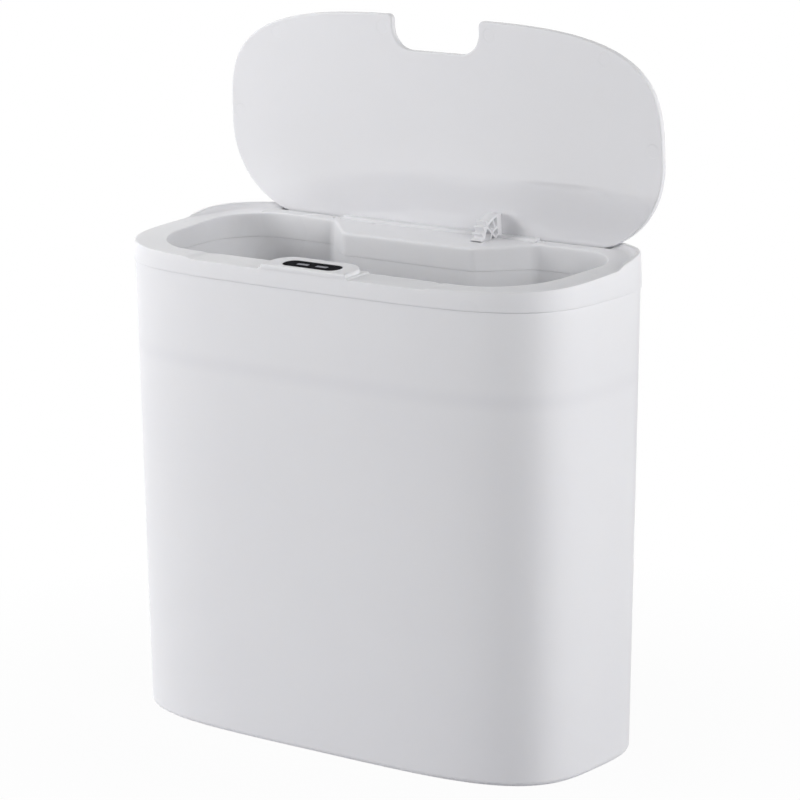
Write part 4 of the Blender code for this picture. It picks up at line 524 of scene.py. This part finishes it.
def seatInset(angle):
    # the rim stops where the shut lid lies; its outline is the lid's with a margin
    margin, middleY = head["seatMargin"], hingeY - lid["waist"]
    low, high = 0.0, head["rimWall"]
    for i in range(24):
        middle = (low + high) / 2
        x, y = bodyPoint(angle, middle)
        share = (abs(x) / (lid["halfWidth"] + margin)) ** lid["rearPowers"][0]
        share += (max(0.0, y - middleY) / (lid["waist"] + lid["tail"] + margin)) ** lid["rearPowers"][1]
        low, high = (middle, high) if share > 1 else (low, middle)
    return low


def footRoom(x, wall):
    # the rim's inner fillet is narrow where the trough comes close behind the lid
    beyond = x - trough["half"] - head["footReach"]
    near = max(head["footLeast"], edgeY(x, wall) - trough["rear"] - head["footGap"])
    return near if beyond < 0 else near + beyond * head["footSlope"]


def rimProfile(angle):
    # one station of the band, the rear rim and its inner fillet, from inside the band to the flange
    outline = bodyPoint(angle, 0.0)
    seat = seatInset(angle)
    rise = rimRise(*outline) * smoothShare((seat - head["seatStart"]) / head["seatRun"]) + head["rimLeast"]
    wall = max(seat, head["rimThinnest"])
    edge = min(head["bandEdge"], wall * head["edgeShare"])
    crest = min(head["rimCrest"], rise / 2, wall * head["crestShare"])
    foot = min(head["rimFoot"], rise * head["footShare"], footRoom(abs(outline.x), wall))
    bottom, proud = head["bottom"], head["proud"]

    def at(inset, over=None, z=None):
        x, y = bodyPoint(angle, inset)
        return Vector((x, y, flangeZ(x, y) + over if z is None else z))

    upper = -proud * (head["top"] - flangeZ(*outline) - rise) / (head["top"] - bottom)
    points = [at(head["bandWall"], z=bottom), at(head["bandEase"] - proud, z=bottom),
              at(-proud, z=bottom + head["bandEase"]),
              at(-proud * head["waistShare"], z=bottom + head["bandWaist"])]
    for side, drop in reversed(arcShares(4)):
        points.append(at(upper + edge * side, rise - edge * drop))
    for side, drop in arcShares(3):
        points.append(at(wall - crest * side, rise - crest * drop))
    for side, drop in arcShares(4):
        points.append(at(wall + foot * drop, foot * side))
    points.append(at(wall + foot + head["footFlat"], 0.0))
    return points


def mouthOutline():
    front, rear, half = head["mouthFront"], head["mouthRear"], head["mouthHalf"]
    right = [(head["jogHalf"], front + head["jog"], head["jogCorner"]),
             (head["jogHalf"] + head["jogRun"], front, head["jogCorner"]),
             (half - head["splay"], front, head["frontCorner"]),
             (half + head["splay"] / 2, rear, head["rearCorner"]),
             (head["deckRearHalf"], rear, head["deckCorner"]),
             (head["deckFrontHalf"], head["deckFront"], head["deckCorner"])]
    # the deck reaches a little less far on the left
    left = [(-x + (head["deckShift"] if x <= head["deckRearHalf"] and y > 0 else 0.0), y, radius)
            for x, y, radius in reversed(right)]
    return roundedOutline(right + left, 5.0)


def mouthEdge(point):
    # the motor deck has a fuller edge than the rest of the mouth
    (startY, runY), (endX, runX) = head["deckEaseY"], head["deckEaseX"]
    deck = smoothShare((point.y - startY) / runY) * smoothShare((endX - abs(point.x)) / runX)
    return head["mouthEdge"] + (head["deckEdge"] - head["mouthEdge"]) * deck


def troughRear(x, inset):
    return min(trough["rear"], edgeY(x, inset))


def troughOutline():
    half, front = trough["half"], trough["front"]
    left, right = trough["slotLeft"], trough["slotRight"]
    near, cover, corner = trough["coverStart"], trough["coverFront"], trough["openingCorner"]
    corners = [(-half, cover, corner), (-near, cover, corner), (-near, front, corner)]
    # small T slot in front of the trough
    middle, stem, tip = trough["markX"], trough["markStem"], trough["markTip"]
    mark = [(-stem, 0.0), (-stem, tip - 2 * stem), (-trough["markHalf"], tip - 2 * stem),
            (-trough["markHalf"], tip)]
    mark += [(-x, y) for x, y in reversed(mark)]
    corners += [(middle + x, front - y, 0.0) for x, y in mark]
    # slot of the sector, then the other end
    corners += [(left, front, 0.0), (left, trough["slotFront"], trough["slotCorner"]),
                (right, trough["slotFront"], trough["slotCorner"]), (right, front, 0.0)]
    corners += [(near, front, corner), (near, cover, corner), (half, cover, corner)]
    rear = [(x, troughRear(x, trough["rimGap"]), 0.0) for x in (half,) + trough["endPlaces"]]
    return roundedOutline(corners + rear + [(-x, y, radius) for x, y, radius in reversed(rear)], 15.0)


def circleOutline(x, y, radius, count=32):
    return [Vector((x, y)) + Vector((math.cos(angle), math.sin(angle))) * radius
            for angle in (2 * math.pi * i / count for i in range(count))]


def growEdge(bm, outline, spreads, steps=4, flat=0.4, level=flangeZ):
    # flat margin and rounded edge of an opening, from the face down into its wall
    margin = sideStep(outline, [spread + flat for spread in spreads])
    first = startRing(bm, raised(margin, level))
    edges = first
    for side, drop in arcShares(steps):
        moved = sideStep(outline, [spread * side for spread in spreads])
        places = raised(moved, level)
        for place, spread in zip(places, spreads):
            place.z -= spread * drop
        edges = nextRing(bm, edges, places)
    return first, edges


def lowerScoops(bm):
    # the flange in front of the mouth is lower on both sides of the sensor pad
    inner, innerStep, outer = head["scoopInner"], head["scoopInnerStep"], head["scoopOuter"]
    outerStep, run, rear = head["scoopOuterStep"], head["scoopRun"], head["scoopRear"]
    for side in (-1, 1):
        for x, slant, step in ((inner, 0.0, innerStep), (outer, run, outerStep)):
            for share in (-0.5, -0.3, -0.1, 0.1, 0.3, 0.5):
                near = [face for face in bm.faces if face.calc_center_median().y < rear]
                geom = list(dict.fromkeys([vert for face in near for vert in face.verts]
                                          + [edge for face in near for edge in face.edges] + near))
                normal = Vector((side, slant / halfDepth, 0.0)).normalized()
                bmesh.ops.bisect_plane(bm, geom=geom, plane_no=normal, dist=head["scoopMerge"],
                                       plane_co=(side * (x + share * step), -halfDepth, 0.0))
    for vert in bm.verts:
        if vert.co.y > rear or vert.co.z < flangeZ(vert.co.x, vert.co.y) - head["scoopSkin"]:
            continue
        reach = abs(vert.co.x) + (vert.co.y + halfDepth) * run / halfDepth
        innerShare = smoothShare((abs(vert.co.x) - inner) / innerStep + 0.5)
        outerShare = smoothShare((outer - reach) / outerStep + 0.5)
        vert.co.z -= head["scoop"] * innerShare * outerShare


def sinkDimples(bm):
    # shallow round seats in the flange for the shut lid's bumpers
    edges = []
    for x, y in head["dimples"]:
        for side in (-1, 1):
            rings = []
            for wider, rise in head["dimpleSteps"]:
                ring = raised(circleOutline(side * x, y, head["dimpleRadius"] + wider, 24), flangeZ)
                for place in ring:
                    place.z += rise
                rings.append(ring)
            edges.append(loft(bm, rings, endClosed=True)[0])
    return edges


def addTrough(bm):
    # the trough in runs on either side of the slot, and its end walls
    half, wall, near = trough["half"], trough["wall"], trough["coverStart"]
    ends = [(-half - wall, -half), (half, half + wall)]
    runs = [(-half, -near), (-near, trough["slotLeft"]), (trough["slotRight"], near), (near, half)]
    top = flangeZ(0.0, trough["front"]) - trough["topDrop"]
    for low, high in ends + runs:
        full = (low, high) in ends
        front = trough["coverFront" if abs(low + high) / 2 > near else "front"]
        steps = max(1, round((high - low) / trough["station"]))
        rings = []
        for i in range(steps + 1):
            x = low + (high - low) * i / steps
            rings.append([Vector((x, y, z)) for y, z in troughSection(x, front, top, full)])
        loft(bm, rings, startClosed=True, endClosed=True)


def addEars(bm):
    # ears that carry the rod
    radius, low = trough["earRadius"], trough["floor"] - trough["earSink"]
    inner, outer, ease = trough["earInner"], trough["earOuter"], trough["earEase"]
    profile = [(hingeY + radius, low)]
    profile += [(hingeY + radius * math.cos(a), hingeZ + radius * math.sin(a))
                for a in (math.pi * i / 16 for i in range(17))]
    profile.append((hingeY - radius, low))
    flat = [Vector(point) for point in profile]
    for side in (-1, 1):
        rings = []
        for x, spread in ((inner, -ease), (inner + ease, 0.0), (outer - ease, 0.0), (outer, -ease)):
            rings.append([Vector((side * x, p.x, p.y)) for p in sideStep(flat, spread)])
        loft(bm, rings, startClosed=True, endClosed=True)


def makeHead():
    bm = newShape()
    stations = [rimProfile(angle) for angle in bodyAngles]
    innerBand, flangeEdge = loft(bm, [list(ring) for ring in zip(*stations)])
    # mouth edge and throat
    mouth = mouthOutline()
    mouthFlat, wall = growEdge(bm, mouth, [mouthEdge(point) for point in mouth])
    throat, low, ease = head["throatWall"], head["throatBottom"], head["throatEase"]
    wall = nextRing(bm, wall, raised(mouth, lambda x, y: flangeZ(x, y) - head["mouthDrop"]))
    for spread, z in ((0.0, low + ease), (ease, low), (throat - ease, low), (throat, low + ease)):
        wall = nextRing(bm, wall, raised(sideStep(mouth, spread), z))

    def underZ(x, y):
        return flangeZ(x, y) - head["thickness"]

    throatOuter = nextRing(bm, wall, raised(sideStep(mouth, throat), underZ))
    bandInner = nextRing(bm, innerBand, bodyRing(head["bandWall"], underZ))
    # trough and slot opening through the flange
    opening = troughOutline()
    openingFlat, wall = growEdge(bm, opening, [trough["edge"]] * len(opening), steps=3,
                                 flat=trough["edgeFlat"])
    openingUnder = nextRing(bm, wall, raised(opening, underZ))
    dimples = sinkDimples(bm)
    fillFlat(bm, flangeEdge, mouthFlat, openingFlat, *dimples)
    fillFlat(bm, bandInner, throatOuter, openingUnder)
    lowerScoops(bm)
    addTrough(bm)
    addEars(bm)
    finishPiece("headFrame", bm, headPlastic, "head", ("head_frame",))


def troughSection(x, front, top, full):
    # outside of the trough with its channel, or a full end wall
    floor, wall, corner = trough["floor"], trough["wall"], trough["corner"]
    rear = troughRear(x, trough["rimGap"])
    outer = min(rear + wall, edgeY(x, trough["outerInset"]))
    if full:
        return [(front - wall, floor - wall), (outer, floor - wall), (outer, top), (front - wall, top)]
    section = [(front - wall, floor - wall), (outer, floor - wall), (outer, top), (rear, top)]
    section += [(rear - corner * drop, floor + corner * side) for side, drop in arcShares(5)]
    section += [(front + corner * drop, floor + corner * side) for side, drop in reversed(arcShares(5))]
    return section + [(front, top), (front - wall, top)]


makeHead()
print("scene: head made")


# Sensor pad with the window in its recess and the two lenses in the window
pad = {"half": 31.1, "depth": 22.1, "corner": 13.0, "step": 2.1, "tilt": 5.0, "thickness": 3.2, "edge": 1.1,
       "edgeFlat": 0.4, "underEase": 0.3, "frontCorner": 0.8, "proud": 0.3}
window = {"length": 41.0, "width": 12.5, "setback": 9.4, "sunk": 0.15, "thickness": 1.6, "gap": 0.12,
          "seat": 0.02, "edge": 0.4, "edgeFlat": 0.3, "roundLess": 0.01, "recessEdge": 0.2,
          "holeCorner": 0.4, "holeEdge": 0.12, "holeFlat": 0.1, "lensLength": 8.4, "lensWidth": 3.0,
          "lensX": 6.9, "lensGap": 0.1, "lensDepth": 3.0, "lensCorner": 0.35, "lensEdge": 0.25,
          "lensSunk": 0.05}
windowY = window["setback"] - halfDepth


def padZ(x, y):
    return flangeZ(0.0, -halfDepth) + pad["step"] + math.tan(math.radians(pad["tilt"])) * (y + halfDepth)


def under(depth):
    # a face that lies below the pad's top by a depth
    return lambda x, y: padZ(x, y) - depth


def boxOutline(x, y, length, width, radius):
    right, rear = x + length / 2, y + width / 2
    left, front = x - length / 2, y - width / 2
    corners = [(left, front, radius), (right, front, radius), (right, rear, radius), (left, rear, radius)]
    return roundedOutline(corners, 7.5)


def makePad():
    half, rear, proud = pad["half"], pad["depth"] - halfDepth, pad["proud"]
    edge, ease = pad["edge"], pad["underEase"]
    frontY = -edgeY(half, -proud)
    corners = [(-half, frontY, pad["frontCorner"])]
    corners += [(half * i / 6, -edgeY(half * i / 6, -proud), 0.0) for i in range(-5, 6)]
    corners += [(half, frontY, pad["frontCorner"]), (half, rear, pad["corner"]), (-half, rear, pad["corner"])]
    outline = roundedOutline(corners, 5.0)
    bm = newShape()
    rings = [raised(sideStep(outline, -ease), under(pad["thickness"])),
             raised(outline, under(pad["thickness"] - ease))]
    for side, drop in reversed(arcShares(6)):
        rings.append(raised(sideStep(outline, -edge * side), under(edge * drop)))
    rings.append(raised(sideStep(outline, -edge - pad["edgeFlat"]), padZ))
    top = loft(bm, rings, startClosed=True)[1]
    gap, rimEdge = window["gap"], window["recessEdge"]
    recess = boxOutline(0.0, windowY, window["length"] + 2 * gap, window["width"] + 2 * gap,
                        window["width"] / 2 + gap - window["roundLess"])
    rim, wall = growEdge(bm, recess, [rimEdge] * len(recess), steps=2, flat=rimEdge, level=padZ)
    wall = nextRing(bm, wall, raised(recess, under(window["sunk"] + window["thickness"])))
    fillFlat(bm, top, rim)
    fillFlat(bm, wall)
    finishPiece("sensorPad", bm, headPlastic, "head")


def makeWindow():
    bm = newShape()
    sunk, edge = window["sunk"], window["edge"]
    low = sunk + window["thickness"] - window["seat"]
    outline = boxOutline(0.0, windowY, window["length"], window["width"],
                         window["width"] / 2 - window["roundLess"])
    rings = [raised(outline, under(low))]
    for side, drop in reversed(arcShares(4)):
        rings.append(raised(sideStep(outline, -edge * side), under(sunk + edge * drop)))
    rings.append(raised(sideStep(outline, -edge - window["edgeFlat"]), under(sunk)))
    base, top = loft(bm, rings)
    upper, lower = [top], [base]
    gap = window["lensGap"]
    for side in (-1, 1):
        hole = boxOutline(side * window["lensX"], windowY, window["lensLength"] + 2 * gap,
                          window["lensWidth"] + 2 * gap, window["holeCorner"])
        rim, wall = growEdge(bm, hole, [window["holeEdge"]] * len(hole), steps=2, flat=window["holeFlat"],
                             level=under(sunk))
        upper.append(rim)
        lower.append(nextRing(bm, wall, raised(hole, under(low))))
    fillFlat(bm, *upper)
    fillFlat(bm, *lower)
    finishPiece("sensorWindow", bm, smokedAcrylic, "head", ("sensor_window",))


def makeLens(side, name, node):
    bm = newShape()
    edge = window["lensEdge"]
    outline = boxOutline(side * window["lensX"], windowY, window["lensLength"], window["lensWidth"],
                         window["lensCorner"])
    rings = [raised(outline, under(window["lensDepth"]))]
    for inward, drop in reversed(arcShares(3)):
        depth = window["sunk"] + window["lensSunk"] + edge * drop
        rings.append(raised(sideStep(outline, -edge * inward), under(depth)))
    loft(bm, rings, startClosed=True, endClosed=True)
    finishPiece(name, bm, filterEpoxy, "head", (node,))


makePad()
makeWindow()
makeLens(-1, "emitterLens", "ir_emitter")
makeLens(1, "receiverLens", "ir_receiver")
print("scene: sensor pad made")


# Collar below the head: lower throat, shelf and the skirt inside the body
collarLow, collarHigh = nodeBox("inner_collar")
collar = {"wall": 1.6, "shelfBottom": 261.5, "shelfTop": 264.1, "shelfEdge": 0.8, "shelfFlat": 0.4,
          "throatTop": 281.52, "throatEdge": 0.1, "edge": 0.3, "openingGap": 0.4, "doorLap": 1.4,
          "doorCorner": 1.9, "doorRoof": 0.3, "knobTravel": 4.0, "knobCorner": 0.3, "notchFloor": 269.9,
          "notchDepth": 8.0, "notchInset": 1.0, "overrun": 1.0}


def cutWith(item, name, outline, low, high):
    # a hole drawn out from an outline
    bm = newShape()
    loft(bm, [raised(outline, low), raised(outline, high)], startClosed=True, endClosed=True)
    cutter = makeObject(name, bm)
    hole = item.modifiers.new(name, "BOOLEAN")
    hole.operation = "DIFFERENCE"
    hole.solver = "EXACT"
    hole.object = cutter
    bpy.context.view_layer.update()
    shown = item.evaluated_get(bpy.context.evaluated_depsgraph_get())
    result = bpy.data.meshes.new_from_object(shown)
    item.modifiers.clear()
    item.data = result
    bpy.data.objects.remove(cutter)


def makeCollar():
    bm = newShape()
    inset = halfWidth - collarHigh.x
    inner = inset + collar["wall"]
    throat, ease, turn = head["throatWall"], collar["throatEdge"], collar["shelfEdge"]
    top, shelfTop, bottom = collar["throatTop"], collar["shelfTop"], collar["shelfBottom"]
    mouth = mouthOutline()
    rings = [(throat, shelfTop), (throat, top - ease), (throat - ease, top), (ease, top), (0.0, top - ease)]
    rings += [(turn * drop, bottom + turn * side) for side, drop in arcShares(4)]
    rings.append((turn + collar["shelfFlat"], bottom))
    throatTop, throatBottom = loft(bm, [raised(sideStep(mouth, spread), z) for spread, z in rings])
    low, high, edge = collarLow.z, collarHigh.z, collar["edge"]
    rings = [(inner, bottom), (inner, low + edge), (inner - edge, low), (inset + edge, low),
             (inset, low + edge), (inset, high - edge), (inset + edge, high), (inner - edge, high),
             (inner, high - edge), (inner, shelfTop)]
    skirtBottom, skirtTop = loft(bm, [bodyRing(side, z) for side, z in rings])
    fillFlat(bm, skirtBottom, throatBottom)
    fillFlat(bm, skirtTop, throatTop)
    item = finishPiece("innerCollar", bm, headPlastic, "head", ("inner_collar",))
    # openings in the shelf for the cells, their door and the switch
    gap, lap, overrun = collar["openingGap"], collar["doorLap"], collar["overrun"]
    near, far = nodeBox("battery_door")
    middle, size, corner = (near + far) / 2, far - near, collar["doorCorner"]
    outline = boxOutline(middle.x, middle.y, size.x + 2 * gap, size.y + 2 * gap, corner)
    cutWith(item, "battery_doorRecess", outline, bottom - overrun, far.z + collar["doorRoof"])
    outline = boxOutline(middle.x, middle.y, size.x - 2 * lap, size.y - 2 * lap, corner)
    cutWith(item, "cellOpening", outline, bottom - overrun, shelfTop + overrun)
    near, far = nodeBox("switch_knob")
    middle, size, travel = (near + far) / 2, far - near, collar["knobTravel"]
    outline = boxOutline(middle.x + travel / 2, middle.y, size.x + 2 * gap + travel, size.y + 2 * gap,
                         collar["knobCorner"])
    cutWith(item, "switch_knobRecess", outline, bottom - overrun, shelfTop + overrun)
    # notch in the rear skirt that the sector swings through
    left, right = trough["slotLeft"], trough["slotRight"]
    outline = boxOutline((left + right) / 2, collarHigh.y - collar["notchInset"], right - left,
                         collar["notchDepth"], 0.0)
    cutWith(item, "sectorNotch", outline, collar["notchFloor"], high + overrun)
    smoothFaces(item.data)


makeCollar()
print("scene: collar made")


def lidOutline():
    # (x, height along the lid) with the notch that clears the sensor pad
    half, waist = lid["halfWidth"], lid["waist"]
    count = lid["points"]
    right = [ovalPoint(angle, half, waist + lid["tail"], lid["rearPowers"])
             for angle in evenAngles(half, waist + lid["tail"], lid["rearPowers"], count, -math.pi / 2, 0.0)]
    front = lid["reach"] - waist
    right += [ovalPoint(angle, half, front, lid["frontPowers"])
              for angle in evenAngles(half, front, lid["frontPowers"], count, 0.0, math.pi / 2)]
    lip = lid["notchHalf"] + lid["notchLip"]
    space = lid["notchSpace"]
    right = [point + Vector((0.0, waist)) for point in right if point.x > lip + space or point.y < 0]
    share = (1 - (lip / half) ** lid["frontPowers"][0]) ** (1 / lid["frontPowers"][1])
    crest = Vector((lip, waist + front * share - lid["notchLip"]))
    bottom = hingeY + halfDepth - lid["notchDepth"]
    corner = lid["notchCorner"]
    centre = Vector((lid["notchHalf"] - corner, bottom + corner))
    # middle, radius, first and last angle, and steps of the notch's two arcs
    arcs = [(crest, lid["notchLip"], 90.0, 180.0, 8), (centre, corner, 0.0, -90.0, 14)]
    for middle, radius, first, last, steps in arcs:
        for i in range(steps + 1):
            angle = math.radians(first + (last - first) * i / steps)
            right.append(middle + Vector((math.cos(angle), math.sin(angle))) * radius)
    # the first point lies on the centre line and isn't mirrored
    return right + [Vector((-point.x, point.y)) for point in reversed(right[1:])]


def lidRing(points, depth):
    return [Vector((p.x, depth, p.y)) for p in points]


def sinkEjectorMarks(bm, face):
    # round marks of the ejector pins in the polished underside
    radius, depth = lid["ejectorRadius"], lid["ejectorDepth"]
    flat, ease = lid["ejectorFlat"], lid["ejectorEase"]
    circles = [(radius + flat, 0.0), (radius, 0.0), (radius - ease, depth), (radius - 2 * flat, depth)]
    edges = []
    for x, height in lid["ejectors"]:
        for side in (-1, 1):
            rings = [lidRing(circleOutline(side * x, height, r, 48), face + deep) for r, deep in circles]
            edges.append(loft(bm, rings, endClosed=True)[0])
    return edges


def addBarrel(bm, sink):
    # half round barrel on both sides of the sector, closed against the lid
    barrel, ease, half = lid["barrel"], lid["barrelEase"], lid["barrelHalf"]
    profile = [Vector((barrel * math.cos(angle), barrel * math.sin(angle)))
               for angle in (math.pi / 2 + math.pi * i / 24 for i in range(25))]
    profile += [Vector((sink, -barrel)), Vector((sink, barrel))]
    for low, high in ((-half, lid["barrelGap"][0]), (lid["barrelGap"][1], half)):
        places = [(low + ease * drop, -ease * side) for side, drop in arcShares(4)]
        rings = []
        for x, spread in places + [(low + high - x, spread) for x, spread in reversed(places)]:
            rings.append([Vector((x, p.x, p.y)) for p in sideStep(profile, spread)])
        loft(bm, rings, startClosed=True, endClosed=True)


def makeLid():
    bm = newShape()
    outline = lidOutline()
    face, edge, flat = lid["standoff"], lid["edge"], lid["edgeFlat"]
    back = face + lid["thickness"]
    shares = arcShares(lid["edgeSteps"])
    rings = [lidRing(sideStep(outline, -edge - flat), face)]
    rings += [lidRing(sideStep(outline, -edge * side), face + edge * drop) for side, drop in shares]
    rings += [lidRing(sideStep(outline, -edge * side), back - edge * drop) for side, drop in reversed(shares)]
    rings.append(lidRing(sideStep(outline, -edge - flat), back))
    underside, outside = loft(bm, rings)
    marks = sinkEjectorMarks(bm, face)
    fillFlat(bm, underside, *marks)
    fillFlat(bm, outside)
    addBarrel(bm, face + edge)
    bmesh.ops.rotate(bm, cent=(0.0, 0.0, 0.0), matrix=Matrix.Rotation(lean, 3, "X"), verts=bm.verts)
    bmesh.ops.translate(bm, vec=(0.0, hingeY, hingeZ), verts=bm.verts)
    finishPiece("lidPanel", bm, lidPlastic, "lid", ("lid_panel",))


makeLid()
print("scene: lid made")


# Toothed sector under the lid: eased edges, angles in degrees
sector = {"edge": 0.2, "sharp": 30.0, "flat": 0.5, "merge": 0.002}


def makeSector():
    # the CAD sector with its edges eased
    bm = bmesh.new()
    bm.from_mesh(nodes["sector_gear"].data)
    bm.verts.layers.int.new("order")
    bmesh.ops.scale(bm, vec=(1 / mm, 1 / mm, 1 / mm), verts=bm.verts)
    bmesh.ops.remove_doubles(bm, verts=bm.verts, dist=sector["merge"])
    bmesh.ops.dissolve_limit(bm, angle_limit=math.radians(sector["flat"]), verts=bm.verts, edges=bm.edges)
    sharp = [edge for edge in bm.edges if edge.is_manifold
             and edge.calc_face_angle(0.0) > math.radians(sector["sharp"])]
    bmesh.ops.bevel(bm, geom=sharp, offset=sector["edge"], offset_type="OFFSET", segments=2, profile=0.5,
                    affect="EDGES", clamp_overlap=True, material=-1)
    finishPiece("lidSector", bm, gearPlastic, "lid", ("sector_gear",))


makeSector()
print("scene: sector made")


# Plain pale ground; camera, mirror and glass rays see a white room
stage = {"floor": "#C4C4C8", "room": "#FFFFFF", "roomLight": 0.025, "reach": 1500.0, "shadowNear": 150.0,
         "shadowFar": 420.0, "whiteNear": 0.96}


def makeStage():
    bm = bmesh.new()
    bmesh.ops.create_grid(bm, x_segments=4, y_segments=4, size=stage["reach"] * mm)
    mesh = bpy.data.meshes.new("studioFloor")
    bm.to_mesh(mesh)
    bm.free()
    item = bpy.data.objects.new("studioFloor", mesh)
    bpy.context.scene.collection.objects.link(item)
    # Matt painted board; camera and mirror rays see it white, with the shadow only near the bin
    material, tree = newMaterial("mattPaleBoard")
    place = addNode(tree, "ShaderNodeTexCoord").outputs["Object"]
    away = addNode(tree, "ShaderNodeVectorMath", {"operation": "LENGTH"}, {0: place})
    white = addNode(tree, "ShaderNodeMapRange", {"From Min": stage["shadowNear"] * mm,
                                                 "From Max": stage["shadowFar"] * mm,
                                                 "To Min": stage["whiteNear"], "To Max": 1.0},
                    {"Value": away.outputs["Value"]})
    path = addNode(tree, "ShaderNodeLightPath")
    sees = addNode(tree, "ShaderNodeMath", {"operation": "MAXIMUM"},
                   {0: path.outputs["Is Camera Ray"], 1: path.outputs["Is Glossy Ray"]})
    share = addNode(tree, "ShaderNodeMath", {"operation": "MULTIPLY"},
                    {0: sees.outputs[0], 1: white.outputs["Result"]})
    board = addNode(tree, "ShaderNodeBsdfPrincipled", {"Base Color": linear(stage["floor"]),
                                                       "Roughness": 0.9})
    glow = addNode(tree, "ShaderNodeEmission", {"Color": linear(stage["room"]), "Strength": 1.0})
    mix = addNode(tree, "ShaderNodeMixShader", {},
                  {0: share.outputs[0], 1: board.outputs[0], 2: glow.outputs[0]})
    addNode(tree, "ShaderNodeOutputMaterial", {}, {"Surface": mix.outputs[0]})
    mesh.materials.append(material)


def makeWorld():
    world = bpy.data.worlds.new("whiteRoom")
    bpy.context.scene.world = world
    world.use_nodes = True
    tree = world.node_tree
    tree.nodes.clear()
    path = addNode(tree, "ShaderNodeLightPath")
    mirror = addNode(tree, "ShaderNodeMath", {"operation": "MAXIMUM"},
                     {0: path.outputs["Is Glossy Ray"], 1: path.outputs["Is Transmission Ray"]})
    sees = addNode(tree, "ShaderNodeMath", {"operation": "MAXIMUM"},
                   {0: path.outputs["Is Camera Ray"], 1: mirror.outputs[0]})
    light = addNode(tree, "ShaderNodeBackground", {"Color": linear(stage["room"]),
                                                   "Strength": stage["roomLight"]})
    seen = addNode(tree, "ShaderNodeBackground", {"Color": linear(stage["room"]), "Strength": 1.0})
    mix = addNode(tree, "ShaderNodeMixShader", {},
                  {0: sees.outputs[0], 1: light.outputs[0], 2: seen.outputs[0]})
    addNode(tree, "ShaderNodeOutputWorld", {}, {"Surface": mix.outputs[0]})


# Soft boxes: azimuth from the front to the right and elevation in degrees, millimetres, watts
lamps = {
    "lowSoftbox": {"azimuth": -50.0, "elevation": 8.0, "distance": 1600.0, "size": 900.0, "power": 17.4},
    "fillSoftbox": {"azimuth": 70.0, "elevation": 25.0, "distance": 1600.0, "size": 900.0, "power": 12.9},
    "rearSoftbox": {"azimuth": 120.0, "elevation": 8.0, "distance": 1600.0, "size": 900.0, "power": 8.3},
    "leftPanel": {"azimuth": -100.0, "elevation": 48.0, "distance": 700.0, "size": 400.0, "power": 1.1},
    "frontPanel": {"azimuth": -60.0, "elevation": 35.0, "distance": 700.0, "size": 350.0, "power": 0.6},
}
lampAim = Vector((0.0, 0.0, 240.0))


def makeLamps():
    for name, values in lamps.items():
        data = bpy.data.lights.new(name, "AREA")
        data.shape = "SQUARE"
        data.size = values["size"] * mm
        data.energy = values["power"]
        item = bpy.data.objects.new(name, data)
        item.visible_glossy = False  # no lamp is mirrored in the lid
        bpy.context.scene.collection.objects.link(item)
        away = outwards(math.radians(values["azimuth"]), math.radians(values["elevation"]))
        place = (lampAim + away * values["distance"]) * mm
        item.matrix_world = Matrix.Translation(place) @ away.to_track_quat("Z", "Y").to_matrix().to_4x4()


makeStage()
makeWorld()
makeLamps()
bpy.context.scene.view_settings.view_transform = "Standard"
print("scene: stage and lamps made")
